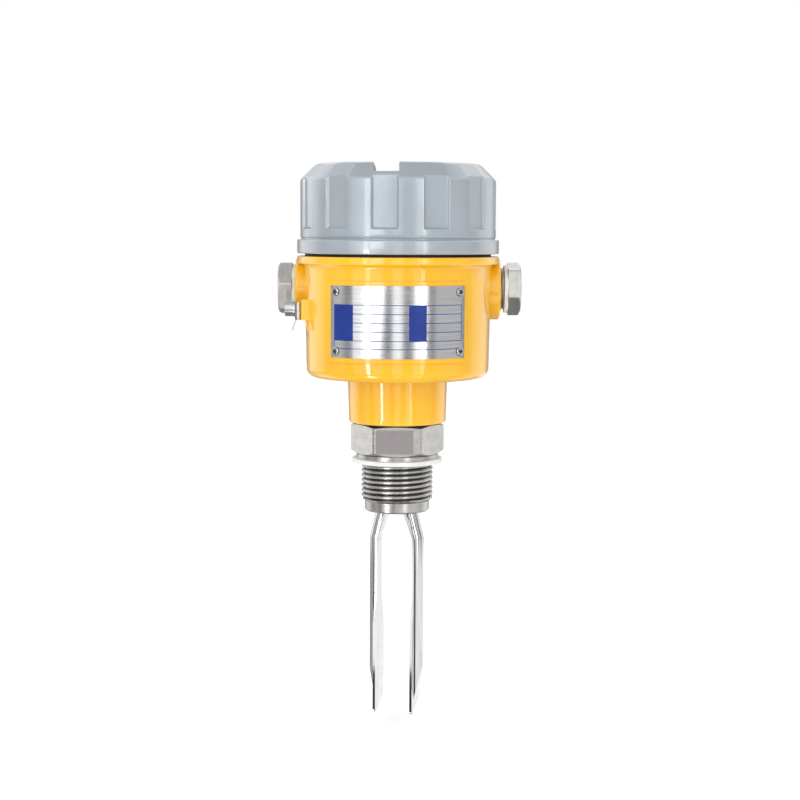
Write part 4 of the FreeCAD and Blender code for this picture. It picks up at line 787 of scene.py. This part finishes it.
def print_fields(ink, bottom, top, outer):
    """Edges of the print in height, and each printed field as azimuths and heights."""
    line, step, margin = ink.line_width, ink.row_height, 0.00035
    lines = [ink.table_top - step * row for row in range(5)]
    lines.append(lines[-1] - step * 0.9)
    left, first, second, second_end, right = (math.radians(turn) for turn in (-40.0, -26.7, 6.6, 17.0, 40.3))
    fields = [(a, b, lines[4], lines[0]) for a, b in ((left, first), (second, second_end))]
    fields += [(left, right, height - line, height) for height in lines]
    edge = line / outer
    fields.append((right - edge, right, lines[4], lines[0]))
    fields.append((left, left + edge, lines[5] - line, lines[0]))
    heights = {bottom, bottom + margin, top - margin, top}
    for field in fields:
        heights.update(field[2:])
    return sorted(heights), fields


def plate_columns(half, fields, count=56):
    """Azimuths of the columns, with one on each upright edge of the print."""
    angles = {-half + 2 * half * index / count for index in range(count + 1)}
    for field in fields:
        angles.update(field[:2])
    kept = []
    for angle in sorted(angles):
        if not kept or angle - kept[-1] >= 1e-6:
            kept.append(angle)
    return kept


def build_plate(angles, heights, fields, outer, thickness):
    shape = bmesh.new()

    def grid(radius):
        return [[shape.verts.new((radius * math.sin(a), -radius * math.cos(a), z)) for z in heights]
                for a in angles]

    front, back = grid(outer), grid(outer - thickness)
    for i in range(len(angles) - 1):
        for j in range(len(heights) - 1):
            face = shape.faces.new((front[i][j], front[i + 1][j], front[i + 1][j + 1], front[i][j + 1]))
            angle = (angles[i] + angles[i + 1]) / 2
            height = (heights[j] + heights[j + 1]) / 2
            printed = any(a < angle < b and low < height < high for a, b, low, high in fields)
            face.material_index = 1 if printed else 0
            shape.faces.new((back[i][j], back[i][j + 1], back[i + 1][j + 1], back[i + 1][j]))
        for j, sense in ((0, 1), (len(heights) - 1, -1)):
            ring = [front[i][j], back[i][j], back[i + 1][j], front[i + 1][j]]
            shape.faces.new(ring[::sense])
    for i, sense in ((0, 1), (len(angles) - 1, -1)):
        for j in range(len(heights) - 1):
            ring = [front[i][j], front[i][j + 1], back[i][j + 1], back[i][j]]
            shape.faces.new(ring[::sense])
    return finish_mesh(mesh_of("printed_nameplate", shape, "plate steel", "blue ink"))


class LEVELSWITCH_OT_nameplate(bpy.types.Operator):
    """Nameplate with blue fields and lines and no words"""

    bl_idname = "levelswitch.nameplate"
    bl_label = "Nameplate"

    def execute(self, context):
        ink = context.scene.level_switch_print
        low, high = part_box("nameplate")
        outer, thickness = -low.y, 0.0005
        half = math.asin(min(1.0, high.x / outer))
        heights, fields = print_fields(ink, low.z, high.z, outer)
        mesh = build_plate(plate_columns(half, fields), heights, fields, outer, thickness)
        new_piece("printed_nameplate", mesh, "sensor_housing", "nameplate_steel", "nameplate")
        return {"FINISHED"}


def screw_seats():
    """Where each CAD screw's head sits, its outward direction and a turn of its recess."""
    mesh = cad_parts["nameplate_screws"].data
    low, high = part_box("nameplate")
    seat = -low.y - 0.00004
    found = []
    for sign in (-1, 1):
        for upper in (False, True):
            spots = [v.co for v in mesh.vertices
                     if (v.co.x > 0) == (sign > 0) and (v.co.z > (low.z + high.z) / 2) == upper]
            middle = sum(spots, Vector()) / len(spots)
            angle = math.atan2(middle.x, -middle.y)
            outward = Vector((math.sin(angle), -math.cos(angle), 0))
            z = (min(s.z for s in spots) + max(s.z for s in spots)) / 2
            found.append((outward * seat + Vector((0, 0, z)), outward, 0.5 + 1.1 * len(found)))
    return found


def add_screw(shape, centre, outward, turn):
    """A dome of rings, pushed in where the cross recess is; the recess and the outer rim are painted near
    black as painted shade.
    """
    radius, dome, rings, steps = 0.0020, 0.0009, 18, 72
    arm_reach, arm_half, depth, dark = 0.00135, 0.00036, 0.0008, 0.0002
    place = Matrix.Translation(centre) @ outward.to_track_quat("Z", "Y").to_matrix().to_4x4()
    grid, recess = [], set()
    for ring in range(rings + 1):
        slope = ring / rings * math.pi / 2
        row = []
        for step in range(steps):
            angle = 2 * math.pi * step / steps
            r = radius * math.sin(slope)
            height = dome * (0.35 + 0.65 * math.cos(slope) ** 0.9) if ring < rings else 0.0
            x, y = r * math.cos(angle), r * math.sin(angle)
            u = x * math.cos(turn) + y * math.sin(turn)
            v = -x * math.sin(turn) + y * math.cos(turn)
            arm = min(max(abs(u), abs(v)) / arm_reach, 1.0)
            slim = min(abs(u), abs(v)) / (arm_half * (1.15 - 0.5 * arm))
            sink = depth * max(0.0, 1 - slim ** 3) * max(0.0, 1 - arm ** 3) if slim < 1 else 0.0
            spot = shape.verts.new(place @ Vector((x, y, height - sink)))
            row.append(spot)
            if sink > dark:
                recess.add(spot)
        grid.append(row)
    for ring in range(rings):
        for step in range(steps):
            after = (step + 1) % steps
            corners = [grid[ring][step], grid[ring + 1][step], grid[ring + 1][after], grid[ring][after]]
            if ring == 0:
                corners = [grid[0][0], grid[1][step], grid[1][after]]
            face = shape.faces.new(corners)
            # the outer rim ring and the deep recess faces take the near-black finish: painted shade under the
            # head and in the cross
            face.material_index = 1 if ring == rings - 1 or sum(spot in recess for spot in corners) > 2 else 0
    bmesh.ops.delete(shape, geom=[v for v in grid[0][1:] if not v.link_faces], context="VERTS")


class LEVELSWITCH_OT_nameplate_screws(bpy.types.Operator):
    """Domed cross-recess screws of the nameplate"""

    bl_idname = "levelswitch.nameplate_screws"
    bl_label = "Nameplate screws"

    def execute(self, context):
        shape = bmesh.new()
        for centre, outward, turn in screw_seats():
            add_screw(shape, centre, outward, turn)
        mesh = finish_mesh(mesh_of("cross_recess_screws", shape, "screw steel", "painted recess shade"), 38)
        new_piece("cross_recess_screws", mesh, "sensor_housing", "small_hardware", "nameplate_screws")
        return {"FINISHED"}


class LEVELSWITCH_OT_ground_terminal(bpy.types.Operator):
    """Clamp, lock washer and socket screw of the ground terminal"""

    bl_idname = "levelswitch.ground_terminal"
    bl_label = "Ground terminal"

    def execute(self, context):
        widths = {"ground_clamp": 0.00012, "ground_lock_washer": 0.00008, "ground_screw": 0.0002}
        for node, width in widths.items():
            rounded_piece(node + "_steel", node, "hardware steel", "sensor_housing", "small_hardware",
                          width, 2, 40, flat_sides=True)
        return {"FINISHED"}


def make_plug(side, sign, scene):
    threads, width = scene.level_switch_threads, scene.level_switch_steel.edge_break
    turned_length, ring_depth, root_depth, clear = 0.006, 0.0009, 0.0008, 0.0001
    node = side + "_plug"
    low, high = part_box(node)
    washer_low, washer_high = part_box(node + "_washer")
    inner, seat = (high.x, washer_low.x) if sign < 0 else (low.x, washer_high.x)
    middle = Vector((0, (washer_low.y + washer_high.y) / 2, (washer_low.z + washer_high.z) / 2))
    shape = welded_copy(node)
    spots = [v.co for v in shape.verts if abs(v.co.x - inner) < turned_length]
    major = max((spot - middle).yz.length for spot in spots)

    def on_thread(face):
        where = face.calc_center_median()
        between = min(inner, seat) + clear < where.x < max(inner, seat) - clear
        return between and (where - middle).yz.length > major - ring_depth

    drop_faces(shape, on_thread)
    mesh = rounded_mesh(node + "_head", shape, width, 2, 30, "plug steel")
    shape = bmesh.new()
    shape.from_mesh(mesh)
    start, end = sorted((abs(inner), abs(seat)))
    turned = Matrix.Translation(middle) @ Matrix.Rotation(math.radians(90 * sign), 4, "Y")
    add_thread(shape, threads.plug_pitch, threads.plug_depth, major, start, end,
               lambda height: major - root_depth + (height - start), turned, steps=72)
    shape.to_mesh(mesh)
    shape.free()
    new_piece(node + "_head", finish_mesh(mesh), side + "_conduit_plug", "turned_steel", node,
              flat_sides=True)


class LEVELSWITCH_OT_conduit_plugs(bpy.types.Operator):
    """Hexagon plugs with their threads and washers"""

    bl_idname = "levelswitch.conduit_plugs"
    bl_label = "Conduit plugs"

    def execute(self, context):
        for side, sign in (("left", -1), ("right", 1)):
            make_plug(side, sign, context.scene)
            rounded_piece(side + "_white_washer", side + "_plug_washer", "white gasket", side + "_washer",
                          "white_gasket", 0.0003, 3, 40)
        return {"FINISHED"}


def lay_patch():
    """A dulled patch that lies on the hexagon's front flat."""
    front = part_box("process_connection")[0].y - 0.00002
    left, right, bottom, top, corner = -0.0098, 0.0074, 0.0036, 0.0146, 0.0004
    outline = [(left + corner, bottom), (right - corner, bottom), (right, bottom + corner),
               (right, top - corner), (right - corner, top), (left + corner, top),
               (left, top - corner), (left, bottom + corner)]
    shape = bmesh.new()
    shape.faces.new([shape.verts.new((x, front, z)) for x, z in outline])
    mesh = mesh_of("laser_patch", shape, "laser hatching")
    new_piece("laser_patch", mesh, "sensor_housing", "turned_steel")


class LEVELSWITCH_OT_process_connection(bpy.types.Operator):
    """Hexagon fitting with its pipe thread and the laser-hatched patch"""

    bl_idname = "levelswitch.process_connection"
    bl_label = "Process connection"

    def execute(self, context):
        threads = context.scene.level_switch_threads
        width = context.scene.level_switch_steel.edge_break
        node, nose, root_depth, clear = "process_connection", 0.0151, 0.0012, 0.0001
        shape = welded_copy(node)
        spots = [(math.hypot(v.co.x, v.co.y), v.co.z) for v in shape.verts]
        major = max(radius for radius, z in spots if z < -0.001)
        low = min(z for radius, z in spots if nose < radius < major - 1e-5 and z < -0.01)

        def on_thread(face):
            where = face.calc_center_median()
            return low + clear < where.z < -clear and math.hypot(where.x, where.y) > nose + clear

        drop_faces(shape, on_thread)
        mesh = rounded_mesh("threaded_fitting", shape, width, 2, 25, "turned steel", "thread steel")
        shape = bmesh.new()
        shape.from_mesh(mesh)
        first = len(shape.faces)
        add_thread(shape, threads.pipe_pitch, threads.pipe_depth, major, low, 0.0,
                   lambda height: major - root_depth + (height - low), steps=144)
        shape.faces.ensure_lookup_table()
        for face in shape.faces[first:]:
            face.material_index = 1
        shape.to_mesh(mesh)
        shape.free()
        new_piece("threaded_fitting", finish_mesh(mesh, 48), "sensor_housing", "turned_steel", node,
                  flat_sides=True)
        lay_patch()
        return {"FINISHED"}


class LEVELSWITCH_OT_seals(bpy.types.Operator):
    """White process gasket and the two black seals"""

    bl_idname = "levelswitch.seals"
    bl_label = "Seals"

    def execute(self, context):
        rounded_piece("flat_gasket", "process_gasket", "white gasket", "sensor_housing", "white_gasket",
                      0.00035, 3, 40)
        for node in ("cap_seal_ring", "neck_seal_ring"):
            dress_node(node, "black rubber")
        return {"FINISHED"}


class LEVELSWITCH_OT_fork(bpy.types.Operator):
    """Polished fork"""

    bl_idname = "levelswitch.fork"
    bl_label = "Fork"

    def execute(self, context):
        rounded_piece("polished_fork", "fork", "polished steel", "sensor_housing", "polished_steel",
                      0.0002, 2, 30, flat_sides=True)
        return {"FINISHED"}


class LEVELSWITCH_OT_electronics(bpy.types.Operator):
    """Drive stack and electronics insert, which keep their CAD shapes"""

    bl_idname = "levelswitch.electronics"
    bl_label = "Electronics"

    FINISHES = {
        "hardware steel": ("drive_bolt", "drive_nut", "insert_screws"),
        "ceramic": ("lower_insulator", "upper_insulator"),
        "silvered ceramic": ("piezo_discs",),
        "brass": ("contact_foils", "terminal_screws"),
        "wire sleeve": ("sensor_wires",),
        "insert plastic": ("insert_cup", "insert_cover"),
        "circuit board": ("circuit_board",),
        "terminal plastic": ("terminal_block",),
        "red plastic": ("mode_switch_block",),
        "white plastic": ("failsafe_slider", "density_slider", "delay_trimmer_rotor"),
        "blue plastic": ("delay_trimmer_body",),
        "lamp lens": ("status_lamps",),
        "component case": ("relay", "transformer", "storage_capacitor"),
    }

    def execute(self, context):
        for finish, nodes in self.FINISHES.items():
            for node in nodes:
                dress_node(node, finish)
        return {"FINISHED"}


def make_floor(studio):
    level = CAD_BOX[0][2] - studio.floor_gap
    shape = bmesh.new()
    bmesh.ops.create_grid(shape, x_segments=8, y_segments=8, size=6.0)
    bmesh.ops.translate(shape, verts=shape.verts, vec=(0, 0, level))
    floor = link("floor", mesh_of("floor", shape, "pale floor"))
    floor.visible_glossy = False


def make_camera(context, studio):
    camera = link("camera", bpy.data.cameras.new("camera"))
    camera.data.lens = studio.lens
    camera.data.sensor_width = 36.0
    camera.data.clip_start = 0.01
    camera.data.clip_end = 50.0
    spot = Matrix.Translation((studio.camera_across, -studio.camera_distance, studio.camera_height))
    tilt = Matrix.Rotation(math.radians(90) - studio.camera_pitch, 4, "X")
    camera.matrix_world = spot @ tilt @ Matrix.Rotation(studio.camera_roll, 4, "Z")
    context.scene.camera = camera


def make_world(context):
    """Pale surroundings with upright softboxes and dark gaps for the metal to reflect."""
    world = bpy.data.worlds.new("studio")
    context.scene.world = world
    world.use_nodes = True
    recipe = Recipe(world.node_tree)
    direction = recipe.split(recipe.tree.nodes.new("ShaderNodeTexCoord").outputs["Generated"])
    azimuth = recipe.maths("ARCTAN2", direction["X"], recipe.times(direction["Y"], -1.0))
    azimuth = recipe.times(azimuth, 180 / math.pi)
    height = direction["Z"]

    def step(value, edge, soft, up=True):
        return recipe.spread(value, edge - soft, edge + soft, 1.0 - up, float(up), smooth=True)

    def add_panels(total, panels):
        """Adds upright panels: two azimuths, softness, strength, lowest and highest, softness of the top."""
        for low, high, soft, strength, bottom, top, rim in panels:
            sides = recipe.times(step(azimuth, low, soft), step(azimuth, high, soft, False))
            ends = recipe.times(step(height, top, rim, False), step(height, bottom, 0.05))
            total = recipe.plus(total, recipe.times(recipe.times(sides, ends), strength))
        return total

    tall, dimmest, low_light = (-0.8, 0.45, 0.1), 0.05, 0.04
    rise = recipe.spread(height, 0.30, 0.52, 0.30, 1.15, smooth=True)
    sky = recipe.times(rise, recipe.spread(height, 0.70, 0.92, 1.0, 0.42, smooth=True))
    above = add_panels(sky, [
        (-56, -19, 1.5, 1.0, *tall), (-39, -34, 0.7, 3.5, *tall), (-6, 6, 0.8, 1.3, *tall),
        (19, 33, 1.0, 1.15, *tall), (28, 33, 0.7, 2.6, *tall), (45, 84, 2.0, 0.35, *tall),
        (-84, -68, 4.0, 0.45, *tall), (106, 145, 10.0, 0.85, *tall), (-145, -106, 10.0, 1.05, *tall),
        (-39, -34, 0.7, 11.0, -0.60, -0.092, 0.012), (-44, -30, 1.5, 4.5, -0.80, -0.48, 0.1),
    ])
    below = add_panels(low_light, [(8, 172, 5.0, 1.1, *tall), (-178, -72, 5.0, 0.42, *tall)])
    fade = recipe.times(recipe.spread(height, -0.195, -0.170, 1.0, 0.0, smooth=True),
                        recipe.spread(height, -0.42, -0.37, smooth=True))
    total = recipe.plus(recipe.times(above, recipe.maths("SUBTRACT", 1.0, fade)), recipe.times(below, fade))
    reflected = recipe.maths("MAXIMUM", total, dimmest)
    seen = recipe.tree.nodes.new("ShaderNodeLightPath").outputs["Is Camera Ray"]
    background = world.node_tree.nodes["Background"].inputs
    recipe.feed(background["Color"], (1.0, 1.0, 1.0))
    recipe.feed(background["Strength"],
                recipe.plus(recipe.times(reflected, recipe.maths("SUBTRACT", 1.0, seen)), seen))


def make_lights():
    """Four softboxes, from above, from both sides in front and from behind, aimed at the housing."""
    aim = Vector((0, 0, 0.05))
    lamps = [
        ("top_softbox", (-0.1, -0.5, 1.5), (1.2, 1.2), 0.9),
        ("left_softbox", (-0.62, -1.45, 0.35), (0.45, 0.7), 2.6),
        ("right_softbox", (0.75, -1.35, 0.35), (0.40, 0.7), 1.2),
        ("rear_softbox", (0.1, 1.4, 0.7), (1.6, 0.8), 2.0),
    ]
    for name, place, size, power in lamps:
        light = bpy.data.lights.new(name, "AREA")
        light.shape = "RECTANGLE"
        light.size, light.size_y = size
        light.energy = power
        lamp = link(name, light)
        lamp.location = place
        lamp.rotation_mode = "QUATERNION"
        lamp.rotation_quaternion = (aim - Vector(place)).to_track_quat("-Z", "Y")


class LEVELSWITCH_OT_studio(bpy.types.Operator):
    """Floor, light and the camera of the photograph"""

    bl_idname = "levelswitch.studio"
    bl_label = "Studio"

    def execute(self, context):
        studio = context.scene.level_switch_studio
        make_floor(studio)
        make_camera(context, studio)
        make_world(context)
        make_lights()
        context.scene.view_settings.view_transform = "Standard"
        return {"FINISHED"}


class LEVELSWITCH_PT_panel(bpy.types.Panel):
    """Every step of the level switch, and its settings"""

    bl_idname = "LEVELSWITCH_PT_panel"
    bl_label = "Level Switch"
    bl_space_type = "VIEW_3D"
    bl_region_type = "UI"
    bl_category = "Level Switch"

    def draw(self, context):
        scene = context.scene
        for settings in SETTINGS:
            box = self.layout.box()
            for name in settings[1].__annotations__:
                box.prop(getattr(scene, settings[0]), name)
        for step in STEPS:
            self.layout.operator(step.bl_idname)


SETTINGS = [
    ("level_switch_enamel", EnamelSettings),
    ("level_switch_cap", CapSettings),
    ("level_switch_steel", SteelSettings),
    ("level_switch_threads", ThreadSettings),
    ("level_switch_print", PrintSettings),
    ("level_switch_studio", StudioSettings),
]

STEPS = [
    LEVELSWITCH_OT_finishes,
    LEVELSWITCH_OT_studio,
    LEVELSWITCH_OT_housing,
    LEVELSWITCH_OT_cap,
    LEVELSWITCH_OT_nameplate,
    LEVELSWITCH_OT_nameplate_screws,
    LEVELSWITCH_OT_ground_terminal,
    LEVELSWITCH_OT_conduit_plugs,
    LEVELSWITCH_OT_process_connection,
    LEVELSWITCH_OT_seals,
    LEVELSWITCH_OT_fork,
    LEVELSWITCH_OT_electronics,
]


def register():
    for name, settings in SETTINGS:
        bpy.utils.register_class(settings)
        setattr(bpy.types.Scene, name, bpy.props.PointerProperty(type=settings))
    for step in STEPS:
        bpy.utils.register_class(step)
    bpy.utils.register_class(LEVELSWITCH_PT_panel)


def unregister():
    bpy.utils.unregister_class(LEVELSWITCH_PT_panel)
    for step in reversed(STEPS):
        bpy.utils.unregister_class(step)
    for name, settings in reversed(SETTINGS):
        delattr(bpy.types.Scene, name)
        bpy.utils.unregister_class(settings)


def write_sizes():
    """Updates the view layer."""
    bpy.context.view_layer.update()


def main():
    register()
    for step in STEPS:
        group, name = step.bl_idname.split(".")
        getattr(getattr(bpy.ops, group), name)()
    write_sizes()


if __name__ == "__main__":
    main()
